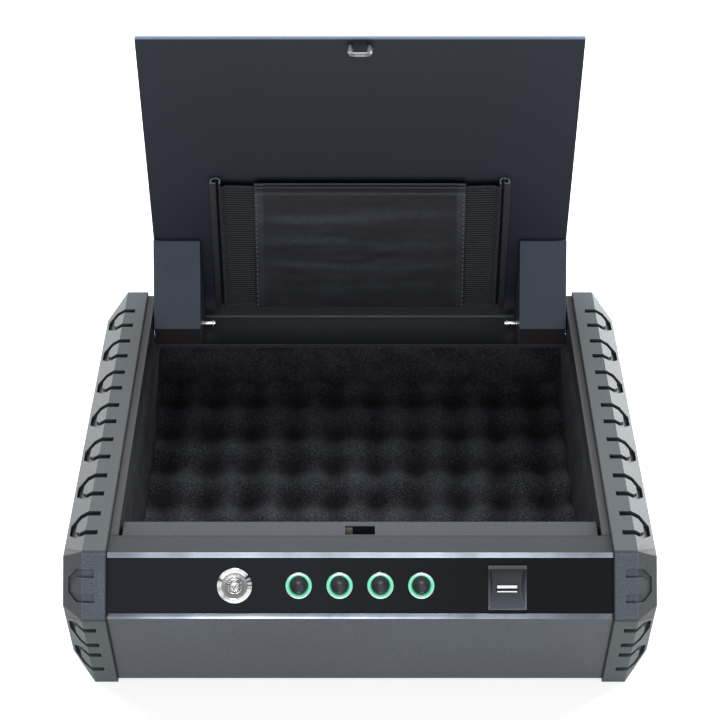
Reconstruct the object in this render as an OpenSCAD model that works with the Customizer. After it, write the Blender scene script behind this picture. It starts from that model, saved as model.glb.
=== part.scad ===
// Quick-access furniture safe: a folded steel case with a lift-up lid, moulded side bumpers,
// a sloping control face with key lock, buttons and fingerprint reader, and a foam-lined cavity.
// X runs to the right, Y to the back and Z up, in millimetres. The origin is on the ground,
// below the middle of the steel case. The lid is drawn open.

/* [Case] */
// Width of the steel case, without the bumpers
case_w = 325; // [310:1:345]
// Depth of the steel case
case_d = 280; // [272:1:296]
// Height of the steel case
case_h = 98; // [96:0.5:108]
// Thickness of the steel sheet of the case
sheet_t = 1.5; // [1.2:0.1:1.8]
// Outer bend radius at the bottom edges of the case
bend_r = 2; // [1.6:0.1:4]
// Rise of the sloping control face, which is also its run
slope_run = 30; // [29:0.5:32]
// Depth of the top strip between the control face and the lid
top_strip = 14; // [13:0.5:16]
// Width of the strips of case beside the lid
side_strip = 5.5; // [5:0.1:6.5]
// Height of the turned-down flange in front of the lid
front_flange_h = 5; // [3.5:0.5:6]
// Height of the turned-down flanges beside the lid
side_flange_h = 14; // [8:1:20]
// Side-to-side spacing of the floor bolt holes
bolt_dx = 200; // [120:5:240]
// Front-to-back spacing of the floor bolt holes
bolt_dy = 120; // [80:5:150]
// Diameter of the floor bolt holes
bolt_d = 8; // [6:0.5:12]

/* [Mechanism cover] */
// Depth of the ledge that carries the latch slot, with the inner wall
ledge_d = 14.4; // [13.5:0.1:17]
// Width of the latch slot
slot_w = 19.5; // [19:0.5:24]
// Depth of the latch slot, front to back
slot_d = 6.8; // [6:0.1:8]
// Distance from the front of the ledge to the middle of the slot
slot_set = 7; // [6.5:0.1:7.5]

/* [Lid] */
// Thickness of the lid plate and its apron
lid_t = 3; // [2.5:0.1:3.5]
// Gap between the lid and the case in front of it
lid_gap = 0.5; // [0.4:0.1:1]
// Gap between the lid and the case on each side
lid_side_gap = 1; // [0.6:0.1:1.5]
// Height of the rear apron below the lid plate
apron_h = 37.2; // [34:0.2:39]
// Distance of the hinge axis in front of the rear face of the lid
hinge_set = 9; // [8:0.5:10]
// Distance of the hinge axis below the top of the lid
hinge_drop = 20; // [18:0.5:22]
// Opening angle of the lid
lid_open = 98; // [90:0.5:105]
// Width of the gusset boxes
gusset_w = 35.3; // [25:0.1:40]
// Length of the gusset boxes along the lid
gusset_l = 71; // [60:1:90]
// Length of the short foot of a gusset
gusset_foot = 14.4; // [13:0.2:20]
// Height of the front lip of a gusset
gusset_lip = 3; // [2:0.2:6]
// Thickness of the gusset sheet
gusset_t = 1.5; // [1.2:0.1:2]

/* [Hinge] */
// Diameter of the hinge pins
pin_d = 4; // [3.5:0.1:5]
// Length by which a pin stands out of its gusset
pin_out = 9; // [6:0.5:12]
// Radial running clearance of the pins in their bushes
pin_gap = 0.05; // [0.02:0.01:0.1]
// Outer diameter of the bushes
bush_d = 7; // [6.5:0.1:8]
// Thickness of the hinge bracket plate
bracket_t = 2.5; // [2:0.1:2.5]

/* [Bumpers] */
// Amount by which the bumpers stand proud of the case
bumper_proud = 2; // [1:0.1:3]
// Full width of a bumper
bumper_w = 29.5; // [27:0.5:34]
// Width of the flat band next to the case
bumper_flat = 15.5; // [14:0.5:17]
// Drop of the chamfer at the top of a bumper
chamfer_top = 10; // [8:0.5:12]
// Setback of the chamfer at the front of a bumper
chamfer_front = 13; // [10:0.5:15]
// Setback of the chamfer at the rear of a bumper
chamfer_rear = 22; // [15:0.5:26]
// Setback of the chamfer at the bottom of a bumper
chamfer_bottom = 18; // [12:0.5:20]
// Wall thickness of the bumper moulding
bumper_wall = 6; // [5:0.5:7]
// Number of grooves along the top of a bumper
groove_count = 7; // [3:1:7]
// Pitch of the grooves along the top
groove_pitch = 33.2; // [28:0.2:34]
// Distance from the rear of the case to the middle of the last groove
groove_set = 27.8; // [24:0.2:32]
// Distance between the two slots of a groove
groove_gap = 16; // [14:0.5:17]
// Width of a groove slot
groove_w = 4; // [3:0.1:5]
// Depth of a groove
groove_deep = 3; // [1.5:0.1:3.5]
// Length of a slot on the flat band
groove_in = 8; // [5:0.5:10]
// Reach of a groove from the fold, seen from above
groove_reach = 12; // [11:0.1:12.6]
// Width of the bar that joins the two slots of a groove
groove_bar = 4.6; // [4:0.1:5]
// Number of grooves on the lower front of a bumper
front_grooves = 2; // [1:1:2]
// Pitch of the front grooves
front_pitch = 26.9; // [25:0.1:28]
// Height of the lowest front groove
front_groove_z = 22.9; // [20:0.5:24]
// Width of the slots on the knuckle at the slope
knuckle_w = 5.5; // [4:0.1:6]
// Depth of the knuckle groove
knuckle_deep = 0.9; // [0.5:0.1:1.5]
// Height of the raised pad on the knuckle
knuckle_rise = 0.6; // [0.2:0.1:1]
// Reach of the knuckle groove from the fold
knuckle_reach = 10; // [9:0.1:10.5]
// Width of the bar of the knuckle groove
knuckle_bar = 3.4; // [3:0.1:4]

/* [Control face] */
// Thickness of the control panel
panel_t = 3; // [2.5:0.1:3.5]
// Width of each bright trim strip
trim_h = 3.4; // [2.5:0.1:4]
// Amount by which the trim strips stand proud
trim_proud = 0.2; // [0.1:0.1:0.6]
// Place of the key lock across the face
lock_x = -80.4; // [-95:0.1:-76]
// Diameter of the bright ring of the lock
lock_ring_d = 23; // [21:0.5:26]
// Amount by which the ring of the lock stands proud
lock_proud = 1.7; // [1.5:0.1:2.4]
// Diameter of the brushed face of the lock
lock_face_d = 16.4; // [14:0.1:18]
// Diameter of the lock body behind the panel
lock_body_d = 19; // [17:0.5:20]
// Depth of the lock body behind the face
lock_depth = 18.8; // [18.3:0.1:19.3]
// Diameter of the turning key cylinder
key_d = 10.5; // [9:0.1:12]
// Number of buttons
button_count = 4; // [4:1:4]
// Pitch of the buttons
button_pitch = 26.2; // [24:0.1:28]
// Outer diameter of a lit ring
ring_d = 16.9; // [16:0.1:19]
// Diameter of a button cap
cap_d = 11.3; // [10:0.1:12]
// Travel of a button
button_travel = 1; // [0.6:0.1:1.2]
// Place of the fingerprint reader across the face
reader_x = 94.4; // [85:0.1:100]
// Place of the fingerprint reader down the face
reader_v = -1.2; // [-1.8:0.1:1.5]
// Width of the reader frame
reader_w = 24.3; // [22:0.1:27]
// Height of the reader frame
reader_h = 28; // [26:0.1:30]
// Amount by which the reader frame stands proud
reader_proud = 1.5; // [1:0.1:2]
// Width of the rim round the finger scoop
reader_rim = 0.9; // [0.6:0.1:1.5]
// Depth of the finger scoop
scoop_deep = 3.2; // [2:0.1:4]
// Width of the sensor
sensor_w = 13.4; // [12:0.1:15]
// Distance of the sensor above the middle of the reader
sensor_v = -1.1; // [-3:0.1:3]
// Height of the sensor
sensor_h = 4.8; // [4:0.1:7]

/* [Latch] */
// Travel of the latch slider
latch_travel = 10; // [9:0.2:10.4]
// Width of the latch tongue
tongue_w = 8; // [6:0.2:8.4]
// Outer width of the striker loop
striker_w = 17.6; // [17:0.1:18]
// Diameter of the striker wire
striker_wire = 3.9; // [3:0.1:4]
// Height of the striker loop
striker_h = 17; // [15:0.2:17.6]
// Diameter of the drive motor
motor_d = 24; // [20:0.5:26]
// Length of the drive motor
motor_l = 28; // [20:1:36]

/* [Electronics] */
// Length of the control board
board_w = 120; // [110:1:124]
// Thickness of the control board
board_t = 1.6; // [1:0.1:2]
// Diameter of a battery cell
cell_d = 14.5; // [14:0.1:15]
// Length of a battery cell
cell_l = 50.5; // [49:0.1:52]

/* [Foam] */
// Thickness of the side liners
side_foam = 4; // [3.6:0.1:4.4]
// Thickness of the front liner
front_foam = 3; // [2:0.1:5]
// Thickness of the rear liner
rear_foam = 9.5; // [6:0.1:10.5]
// Mean height of the egg-crate top above the steel floor
foam_mid = 14.5; // [11:0.1:18]
// Height of the egg-crate waves above and below the mean
foam_wave = 4.5; // [3:0.1:6]
// Number of egg-crate waves across the floor
foam_nx = 10; // [6:1:10]
// Number of egg-crate waves from front to back
foam_ny = 6; // [4:1:6]
// Clearance of soft pieces to their neighbours
soft_gap = 0.3; // [0.2:0.05:0.5]

/* [Lid pocket] */
// Width of the elastic between the pocket and a rail
elastic_w = 24.4; // [21:0.1:26]
// Distance of the pocket from the apron
pouch_s = 14.8; // [12:0.2:18]
// Height of the pocket
pouch_h = 107.3; // [95:0.1:112]
// Height by which the back panel stands above the front one
pouch_step = 2.2; // [1:0.1:5]
// Thickness of a fabric panel
cloth_t = 1.2; // [0.8:0.1:1.6]
// Gap across the lid between a hinge pin and the top of the rail beside it
rail_room = 1.7; // [1:0.1:4]
// Amount by which the foot of a rail stands further out than its top
rail_splay = 1.3; // [0:0.1:2]
// Amount by which the pocket is wider on each side at its foot
pouch_splay = 2.6; // [0:0.1:3]
// Width of a rail
rail_w = 8; // [7:0.1:9]
// Wall thickness of a rail
rail_t = 1.5; // [1.2:0.1:2]
// Width of the slit of a rail, which takes the webbing
slit_w = 1.8; // [1.6:0.1:2.4]
// Height of a rail off the lid
rail_h = 9; // [8:0.1:11]
// Length of a rail
rail_l = 110; // [100:0.5:114]
// Thickness of the elastic webbing
elastic_t = 1.6; // [1.2:0.1:2]

/* [Fasteners] */
// Diameter of the bumper screws
screw_d = 4; // [3:0.1:5]
// Diameter of the screw heads
screw_head_d = 7.6; // [6.5:0.1:9]
// Height of the screw heads
screw_head_h = 2; // [1.5:0.1:2.6]

/* [Hidden] */
$fn = 48;
root2 = sqrt(2);
// Extra length of a cut beyond the face that it opens
over = 1;

// Planes of the case
case_front = -case_d / 2;
case_rear = case_d / 2;
front_in = case_front + sheet_t;
rear_in = case_rear - sheet_t;
side_in = case_w / 2 - sheet_t;
top_in = case_h - sheet_t;
// The slope is the line z - y = constant
slope_out = case_h - slope_run - case_front;
slope_seat = slope_out - panel_t * root2;
slope_in = slope_seat - sheet_t * root2;
slope_y = case_front + slope_run / 2;
slope_z = case_h - slope_run / 2;
slope_len = slope_run * root2;
panel_back = -panel_t;
sheet_back = panel_back - sheet_t;
panel_h = slope_len - 2 * trim_h;
bay_half = case_w / 2 - side_strip;
bay_front = case_front + slope_run + top_strip;
front_flange_z = case_h - front_flange_h;

// Lid and hinge, with the lid closed
lid_half = bay_half - lid_side_gap;
lid_front = bay_front + lid_gap;
lid_in = case_h - lid_t;
apron_in = case_rear - lid_t;
apron_z = lid_in - apron_h;
hinge_y = case_rear - hinge_set;
hinge_z = case_h - hinge_drop;
// Largest reach of the apron and the gusset feet from the hinge axis, and room round it
swing_r = max(norm([hinge_set, hinge_z - apron_z]),
              norm([apron_in - gusset_foot - hinge_y, hinge_z - apron_z]));
swing_room = 1.2;
rear_wall_h = hinge_z - sqrt(pow(swing_r + swing_room, 2) - pow(rear_in - hinge_y, 2));
rear_liner_h = hinge_z - swing_r - swing_room;
gusset_in = lid_half - gusset_w;
pin_in = gusset_in - pin_out;

// Mechanism cover and cavity
cover_y = bay_front + ledge_d;
wall_y = cover_y - sheet_t;
ledge_half = bay_half - 2;
ledge_z = lid_in - 0.2;
slot_y = bay_front + slot_set;
liner_half = side_in - side_foam;
cavity_front = cover_y + front_foam;
cavity_rear = rear_in - rear_foam;
bolt_y = (cavity_front + cavity_rear) / 2;

// Bumper: inner outline A and outer face outline B
bump_x0 = case_w / 2;
bump_x1 = bump_x0 + bumper_flat;
bump_x2 = bump_x0 + bumper_w;
bump_front = case_front - bumper_proud;
bump_rear = case_rear + bumper_proud;
bump_top = case_h + bumper_proud;
bump_slope = slope_out + bumper_proud * root2;
bump_run = bumper_w - bumper_flat;
screw_yz = [for (k = [0.1, 0.39, 0.71, 0.935]) [case_front + k * case_d, case_h / 2]];
screw_l = 12;
screw_fit = 0.05;
screw_room = 0.2;
groove_corner = 6;
groove_cut = 20;
rib_t = 3;
rib_y = [for (i = [1:3]) case_front + i * case_d / 4 - 6];

// Lock, buttons and reader, in the frame of the control face
key_r = key_d / 2;
key_gap = 0.05;
key_turn = 90;
lock_end = -lock_depth;
key_tail = 5.2;
cam_t = 2;
cam_back = lock_end - key_tail - cam_t;
cam_tip_r = 2;
cam_hub_r = 4.5;
cam_r = latch_travel;
nut_r = 13;
nut_t = 4.5;
button_x = [for (i = [0:button_count - 1]) (i - (button_count - 1) / 2) * button_pitch];
ring_back = sheet_back - 0.5;
ring_proud = 0.8;
cap_gap = 0.3;
cap_lip_t = 1.2;
cap_lip_gap = 0.4;
cap_lip = ring_back - cap_lip_gap;
cap_stem = cap_lip - cap_lip_t - 2;
switch_gap = 0.3;
switch_top = cap_stem - button_travel - switch_gap;
switch_h = 3.7;
board_top = switch_top - switch_h;
board_back = board_top - board_t;
board_up = 6;
board_down = 14;
post_x = board_w / 2 - 6;
post_d = 6;
reader_depth = 8;

// Latch mechanism
tab_y = slope_y + (-cam_r / root2 + cam_tip_r - cam_back) / root2 + 0.5;
tab_x = lock_x + 0.82 * cam_r;
tab_top = slope_z + (cam_r / root2 + cam_tip_r + cam_back) / root2 + 0.2;
tab_w = 6.8;
tab_t = 2;
slider_d = 8;
post_t = 6;
tongue_top = front_flange_z - 2;
tongue_h = 7.3;
tongue_tip = bay_front + 0.2;
arm_z = 58;
arm_t = 2;
drive_e = latch_travel / root2;
drive_x = 8;
drive_y = tab_y + slider_d / 2 + latch_travel / 2;
drive_pin_r = 1.5;
drive_disc_t = 2;
yoke_gap = 0.45;
plate_z = 52;
plate_t = 2;
disc_z = plate_z + plate_t + 0.4;
pad_gap = 0.3;
cheek_in = tongue_w / 2 + 0.3;
cheek_t = 2;
guide_z = arm_z + arm_t + 1;
guide_top = tongue_top + 0.3;
guide_y = tab_y + 2.2;
wing_y = tongue_tip - 2.4;
wing_t = 1.8;
frame_half = 18;

// Battery tray: cells lie end to end in two rows
tray_set = 15.4;
tray_y = front_in + 3;
tray_t = 1.5;
cell_room = 0.3;
cell_step = cell_l + 1;
row_step = cell_d + 0.6;
tray_l = cell_step + cell_l + 2 * (tray_t + cell_room);
tray_w = row_step + cell_d + 2 * (tray_t + cell_room);
tray_x = side_in - tray_set - tray_l;

// Hinge brackets: reach in front of, below and above the hinge axis
bracket_reach = 12;
bracket_drop = 16;
bracket_rise = 8;
front_liner_top = case_h - 10;

// Clips of the hinge pins
clip_set = 1.2;
clip_t = 0.7;

// Rails, pocket and the face of the webbing, seen from the lid
rail_x = pin_in - rail_room - rail_w;
pouch_half = rail_x - elastic_w;
pouch_top = apron_in - pouch_s - pouch_h;
rail_top = apron_in - pouch_s + 1.4 - rail_l;
elastic_z = lid_in - rail_h + 1.2;

// Points of an arc from angle a0 to a1
function arc(c, r, a0, a1, n = 6) =
  [for (i = [0:n]) let (a = a0 + (a1 - a0) * i / n) [c[0] + r * cos(a), c[1] + r * sin(a)]];

// Outline in (y, z) of a box side whose top front corner is cut by the slope z - y = s
function side_points(front, rear, bottom, top, s) =
  [[front, bottom], [front, front + s], [top - s, top], [rear, top], [rear, bottom]];

outline_a = side_points(bump_front, bump_rear, 0, bump_top, bump_slope);
outline_b = side_points(bump_front + chamfer_front, bump_rear - chamfer_rear, chamfer_bottom,
                        bump_top - chamfer_top, bump_slope - chamfer_top * root2);

module box(a, b) {
  translate(a) cube(b - a);
}

module slab(x0, x1) {
  translate([x0, 0, 0]) rotate([90, 0, 90]) linear_extrude(x1 - x0) children();
}

module along_y(y0, y1) {
  translate([0, y1, 0]) rotate([90, 0, 0]) linear_extrude(y1 - y0) children();
}

module rod_x(x0, x1, y, z, r) {
  translate([x0, y, z]) rotate([0, 90, 0]) cylinder(h = x1 - x0, r = r);
}

// Frame of the control face: x across, y up the slope, z out of it
module on_slope(x = 0, v = 0, h = 0) {
  translate([0, slope_y, slope_z]) rotate([45, 0, 0]) translate([x, v, h]) children();
}

module both_sides() {
  children();
  mirror([1, 0, 0]) children();
}

// Turns what is drawn with the lid closed to the open lid
module opened() {
  translate([0, hinge_y, hinge_z]) rotate([-lid_open, 0, 0])
    translate([0, -hinge_y, -hinge_z]) children();
}

// Solid through a list of outlines with as many points each, one per x
module loft(xs, outlines) {
  n = len(outlines[0]);
  m = len(xs);
  polyhedron(
    points = [for (k = [0:m - 1]) for (p = outlines[k]) [xs[k], p[0], p[1]]],
    faces = concat(
      [[for (i = [n - 1:-1:0]) i]],
      [for (k = [0:m - 2]) for (i = [0:n - 1])
        [k * n + i, k * n + (i + 1) % n, (k + 1) * n + (i + 1) % n, (k + 1) * n + i]],
      [[for (i = [0:n - 1]) (m - 1) * n + i]]
    )
  );
}

module case_outline() {
  seat = panel_t / root2;
  polygon(concat(
    arc([case_front + bend_r, bend_r], bend_r, 270, 180),
    [
      [case_front, case_h - slope_run],
      [case_front + seat, case_h - slope_run - seat],
      [case_front + slope_run + seat, case_h - seat],
      [case_front + slope_run, case_h],
      [case_rear, case_h]
    ],
    arc([case_rear - bend_r, bend_r], bend_r, 0, -90)
  ));
}

module floor_holes() {
  for (x = [-1, 1], y = [-1, 1])
    translate([x * bolt_dx / 2, bolt_y + y * bolt_dy / 2, -over])
      cylinder(h = sheet_t + 2 * over, d = bolt_d);
}

// Holes of the controls, each wider than its piece by gap
module control_holes(h0, h1, gap) {
  on_slope(lock_x, 0, h0) cylinder(h = h1 - h0, d = lock_body_d + 2 * gap);
  for (x = button_x) on_slope(x, 0, h0) cylinder(h = h1 - h0, d = ring_d + 2 * gap);
  on_slope(reader_x, reader_v, (h0 + h1) / 2)
    cube([reader_w - 1.6 + 2 * gap, reader_h - 1.6 + 2 * gap, h1 - h0], center = true);
}

module case_shell() color("#595b5f") {
  difference() {
    slab(-case_w / 2, case_w / 2) case_outline();
    slab(-side_in, side_in)
      polygon(side_points(front_in, rear_in, sheet_t, top_in, slope_in));
    box([-bay_half, bay_front, front_flange_z], [bay_half, case_rear + over, case_h + over]);
    box([-bay_half, rear_in - over, rear_wall_h],
        [bay_half, case_rear + over, case_h + over]);
    control_holes(sheet_back - over, panel_back + over, 0.4);
    floor_holes();
    for (p = screw_yz, s = [-1, 1])
      rod_x(s * case_w / 2 - 2 * sheet_t, s * case_w / 2 + 2 * sheet_t, p[0], p[1],
            screw_d / 2 + screw_room);
  }
  box([-bay_half, bay_front - sheet_t, front_flange_z],
      [bay_half, bay_front, case_h - sheet_t / 2]);
  both_sides() box([bay_half, bay_front - sheet_t, case_h - side_flange_h],
                   [bay_half + sheet_t, rear_in + sheet_t / 2, case_h - sheet_t / 2]);
}

module mechanism_cover() color("#5e6064") difference() {
  union() {
    box([-ledge_half, bay_front, ledge_z - sheet_t], [ledge_half, cover_y, ledge_z]);
    box([-ledge_half, wall_y, sheet_t], [ledge_half, cover_y, ledge_z - sheet_t / 2]);
    box([-side_in, wall_y, sheet_t], [side_in, cover_y, case_h - side_flange_h - soft_gap]);
    box([-side_in, wall_y - 12, sheet_t], [side_in, wall_y + sheet_t / 2, 2 * sheet_t]);
  }
  box([-slot_w / 2, slot_y - slot_d / 2, lid_in - 3 * sheet_t],
      [slot_w / 2, slot_y + slot_d / 2, lid_in + over]);
}

// Outline of a U-shaped groove: x away from the case from the fold, y along the fold
module groove_outline(w, reach, bar) {
  out = (groove_gap + w) / 2;
  in = (groove_gap - w) / 2;
  edge = reach - bar;
  corner = groove_corner;
  slope = corner / 2;
  polygon([
    [-groove_in, -out], [reach - corner, -out], [reach, corner - out], [reach, out - corner],
    [reach - corner, out], [-groove_in, out], [-groove_in, in], [edge - slope, in],
    [edge, in - slope], [edge, slope - in], [edge - slope, -in], [-groove_in, -in]
  ]);
}

module groove_cuts() {
  for (i = [0:groove_count - 1])
    translate([bump_x1, case_rear - groove_set - i * groove_pitch, bump_top - groove_cut])
      linear_extrude(groove_cut + over) groove_outline(groove_w, groove_reach, groove_bar);
  for (i = [0:front_grooves - 1])
    translate([bump_x1, bump_front + groove_cut, front_groove_z + i * front_pitch])
      rotate([90, 0, 0])
        linear_extrude(groove_cut + over) groove_outline(groove_w, groove_reach, groove_bar);
  translate([bump_x1, (bump_front + bump_top - bump_slope) / 2,
             (bump_front + bump_slope + bump_top) / 2])
    rotate([45, 0, 0]) translate([0, 0, -groove_cut])
      linear_extrude(groove_cut + over)
        groove_outline(knuckle_w, knuckle_reach, knuckle_bar);
}

// Setback of a chamfer at x, once its face is moved inwards by d
function inset(c, x, d) = let (k = c / bump_run) d * sqrt(1 + k * k) + k * (x - bump_x1);

// Body of the bumper behind the floors of its grooves
module bumper_core() {
  d = groove_deep;
  x1 = bump_x1 - d / 3;
  x2 = bump_x2 - d;
  top = inset(chamfer_top, x2, d);
  slope = inset(chamfer_top, x2, knuckle_deep);
  loft([bump_x0 + bumper_wall / 2, x1, x2], [
    for (k = [0, 0, 1]) side_points(
      bump_front + (k ? inset(chamfer_front, x2, d) : d),
      bump_rear - (k ? inset(chamfer_rear, x2, d) : d),
      k ? inset(chamfer_bottom, x2, d) : d,
      bump_top - (k ? top : d),
      bump_slope - (k ? slope : knuckle_deep) * root2)
  ]);
}

module bumper_hollow() {
  w = bumper_wall;
  inner_a = side_points(bump_front + w, bump_rear - w, w, bump_top - w,
                        bump_slope - w * root2);
  inner_b = side_points(bump_front + chamfer_front + w, bump_rear - chamfer_rear - w,
                        chamfer_bottom + w, bump_top - chamfer_top - w,
                        bump_slope - (chamfer_top + w) * root2);
  difference() {
    loft([bump_x0 - over, bump_x1 - w / 2, bump_x2 - w], [inner_a, inner_a, inner_b]);
    for (y = rib_y) box([bump_x0 - 2 * over, y - rib_t / 2, 0],
                        [bump_x2, y + rib_t / 2, bump_top]);
    for (p = screw_yz) rod_x(bump_x0 - 2 * over, bump_x2, p[0], p[1], screw_d + 1);
  }
}

// Raised pad between the folds of the knuckle
module knuckle_pad() slab(bump_x0, bump_x1) {
  edge = 1;
  rise = knuckle_rise / root2;
  front = bump_front + edge;
  back = bump_top - bump_slope - edge;
  polygon([for (p = [[front + 1, -1.5], [front, 0], [front + rise, 1], [back - rise, 1],
                     [back, 0], [back - 1, -1.5]])
    [p[0] - p[1] * rise, p[0] + p[1] * rise + bump_slope]]);
}

module bumper() difference() {
  union() {
    difference() {
      union() {
        loft([bump_x0, bump_x1, bump_x2], [outline_a, outline_a, outline_b]);
        knuckle_pad();
      }
      groove_cuts();
    }
    bumper_core();
  }
  bumper_hollow();
  for (p = screw_yz)
    rod_x(bump_x0 - over, bump_x0 + screw_l + over, p[0], p[1], screw_d / 2 + screw_fit);
}

module left_bumper() color("#737578") mirror([1, 0, 0]) bumper();
module right_bumper() color("#737578") bumper();

module bumper_screws() color("#b8bac0") both_sides() for (p = screw_yz) {
  rod_x(side_in, bump_x0 + screw_l, p[0], p[1], screw_d / 2);
  rod_x(side_in - screw_head_h, side_in, p[0], p[1], screw_head_d / 2);
}

module control_panel() color("#1b1c1f") difference() {
  on_slope() translate([-case_w / 2, -panel_h / 2, panel_back])
    cube([case_w, panel_h, panel_t]);
  control_holes(panel_back - over, over, 0.05);
}

module trim(v) on_slope() translate([-case_w / 2, v, panel_back])
  cube([case_w, trim_h, panel_t + trim_proud]);

module upper_trim() color("#c8cdd6") trim(panel_h / 2);
module lower_trim() color("#c8cdd6") trim(-panel_h / 2 - trim_h);

module lock_housing() color("#d6d8dc") on_slope(lock_x) {
  face = lock_proud - 0.9;
  mark_w = 1.8;
  translate([-mark_w / 2, key_r + 0.15, face - 0.5]) cube([mark_w, 1.3, 1]);
  rotate_extrude() lock_section(face);
}

// Half section of the lock body with its face at height face
module lock_section(face) {
  ring = lock_ring_d / 2;
  inner = lock_face_d / 2;
  edge = 1.4;
  lip = 0.9;
  polygon(concat(
    [[key_r + key_gap, lock_end], [lock_body_d / 2, lock_end], [lock_body_d / 2, 0], [ring, 0]],
    arc([ring - edge, lock_proud - edge], edge, 0, 80),
    arc([inner + lip, lock_proud - lip], lip, 100, 180),
    [[inner, face], [key_r + key_gap, face]]
  ));
}

module lock_nut() color("#b8bac0") on_slope(lock_x, 0, sheet_back - nut_t) difference() {
  cylinder(h = nut_t, r = nut_r, $fn = 6);
  translate([0, 0, -over]) cylinder(h = nut_t + 2 * over, d = lock_body_d + 0.1);
}

// Turning plug with a ring of pin holes, none of them at the top
module key_cylinder() color("#c9cbd0") on_slope(lock_x) difference() {
  tip = lock_proud - 0.3;
  pin_holes = 7;
  pin_ring = key_r - 1.45;
  hole_r = 0.75;
  translate([0, 0, lock_end - key_tail]) cylinder(h = key_tail - lock_end + tip, r = key_r);
  translate([0, 0, tip - 0.4]) difference() {
    cylinder(h = 2, r = pin_ring + hole_r);
    translate([0, 0, -over]) cylinder(h = 2 + 2 * over, r = pin_ring - hole_r);
  }
  for (k = [1:pin_holes]) rotate([0, 0, k * 360 / (pin_holes + 1)])
    translate([0, pin_ring, -4]) cylinder(h = 8, r = hole_r - 0.02);
}

module key_cam() color("#b8bac0") on_slope(lock_x, 0, cam_back)
  rotate([0, 0, -key_turn / 2]) linear_extrude(cam_t) {
    circle(r = cam_hub_r);
    translate([0, -cam_tip_r]) square([cam_r, 2 * cam_tip_r]);
    translate([cam_r, 0]) circle(r = cam_tip_r);
  }

module button_rings() color("#84e6bd") for (x = button_x) on_slope(x) rotate_extrude()
  polygon([
    [cap_d / 2 + cap_gap, ring_back], [ring_d / 2, ring_back], [ring_d / 2, 0.3],
    [ring_d / 2 - 0.5, ring_proud], [ring_d / 2 - 1.6, ring_proud],
    [cap_d / 2 + cap_gap, -0.2]
  ]);

module button_cap(i) color("#24282c") on_slope(button_x[i]) rotate_extrude() {
  r = cap_d / 2;
  lip = min(ring_d / 2 - 1.4, r + 1.6);
  dome_r = 12;
  dome_z = 0.9 - dome_r;
  dome_a = asin(r / dome_r);
  polygon(concat(
    [[0, cap_stem], [2, cap_stem], [2, cap_lip - cap_lip_t], [lip, cap_lip - cap_lip_t],
     [lip, cap_lip], [r, cap_lip]],
    arc([0, dome_z], dome_r, 90 - dome_a, 90)
  ));
}

module button_cap_1() button_cap(0);
module button_cap_2() button_cap(1);
module button_cap_3() button_cap(2);
module button_cap_4() button_cap(3);

module button_switches() color("#303236") for (x = button_x) {
  on_slope(x - 3, -3, board_top) cube([6, 6, switch_h - 0.7]);
  on_slope(x, 0, board_top) cylinder(h = switch_h, r = 1.7);
}

module control_board() color("#2f6b4a") difference() {
  on_slope() translate([-board_w / 2, -board_down, board_back])
    cube([board_w, board_up + board_down, board_t]);
  for (x = [-post_x, post_x], v = [-board_down + 4, board_up - 3])
    on_slope(x, v, board_back - over) cylinder(h = board_t + 2 * over, r = 1.6);
}

module board_posts() color("#b8bac0")
  for (x = [-post_x, post_x], v = [-board_down + 4, board_up - 3])
    on_slope(x, v, board_top) cylinder(h = sheet_back - board_top, d = post_d);

// The scoop curves up to the top and bottom of the frame, between walls that lean outwards
module fingerprint_frame() color("#3c3f45") on_slope(reader_x, reader_v) {
  inner_w = reader_w - 1.6;
  inner_h = reader_h - 1.6;
  scoop_h = reader_h - 2 * reader_rim;
  scoop_r = (scoop_h * scoop_h / 4 + scoop_deep * scoop_deep) / (2 * scoop_deep);
  lean = 2.4;
  top = reader_w / 2 - reader_rim;
  difference() {
    union() {
      translate([-reader_w / 2, -reader_h / 2, 0]) cube([reader_w, reader_h, reader_proud]);
      translate([-inner_w / 2, -inner_h / 2, -reader_depth])
        cube([inner_w, inner_h, reader_depth + reader_proud / 2]);
    }
    intersection() {
      translate([-reader_w, 0, reader_proud - scoop_deep + scoop_r]) rotate([0, 90, 0])
        cylinder(h = 2 * reader_w, r = scoop_r);
      translate([0, reader_h, reader_proud]) rotate([90, 0, 0]) linear_extrude(2 * reader_h)
        polygon([[-top - lean / 2, scoop_deep / 2], [top + lean / 2, scoop_deep / 2],
                 [top - lean - lean / 2, -scoop_deep * 3 / 2],
                 [lean + lean / 2 - top, -scoop_deep * 3 / 2]]);
    }
    translate([-sensor_w / 2 - 0.1, sensor_v - sensor_h / 2 - 0.1, -reader_depth - over])
      cube([sensor_w + 0.2, sensor_h + 0.2, reader_depth + 3]);
  }
}

module fingerprint_sensor() color("#101114") on_slope(reader_x, reader_v + sensor_v)
  difference() {
    top = reader_proud - scoop_deep + 0.5;
    translate([-sensor_w / 2, -sensor_h / 2, -reader_depth])
      cube([sensor_w, sensor_h, reader_depth + top]);
    translate([-sensor_w / 2 + 0.6, -0.2 * sensor_h, top - 1])
      cube([sensor_w - 1.2, sensor_h / 4, 2]);
  }

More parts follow.
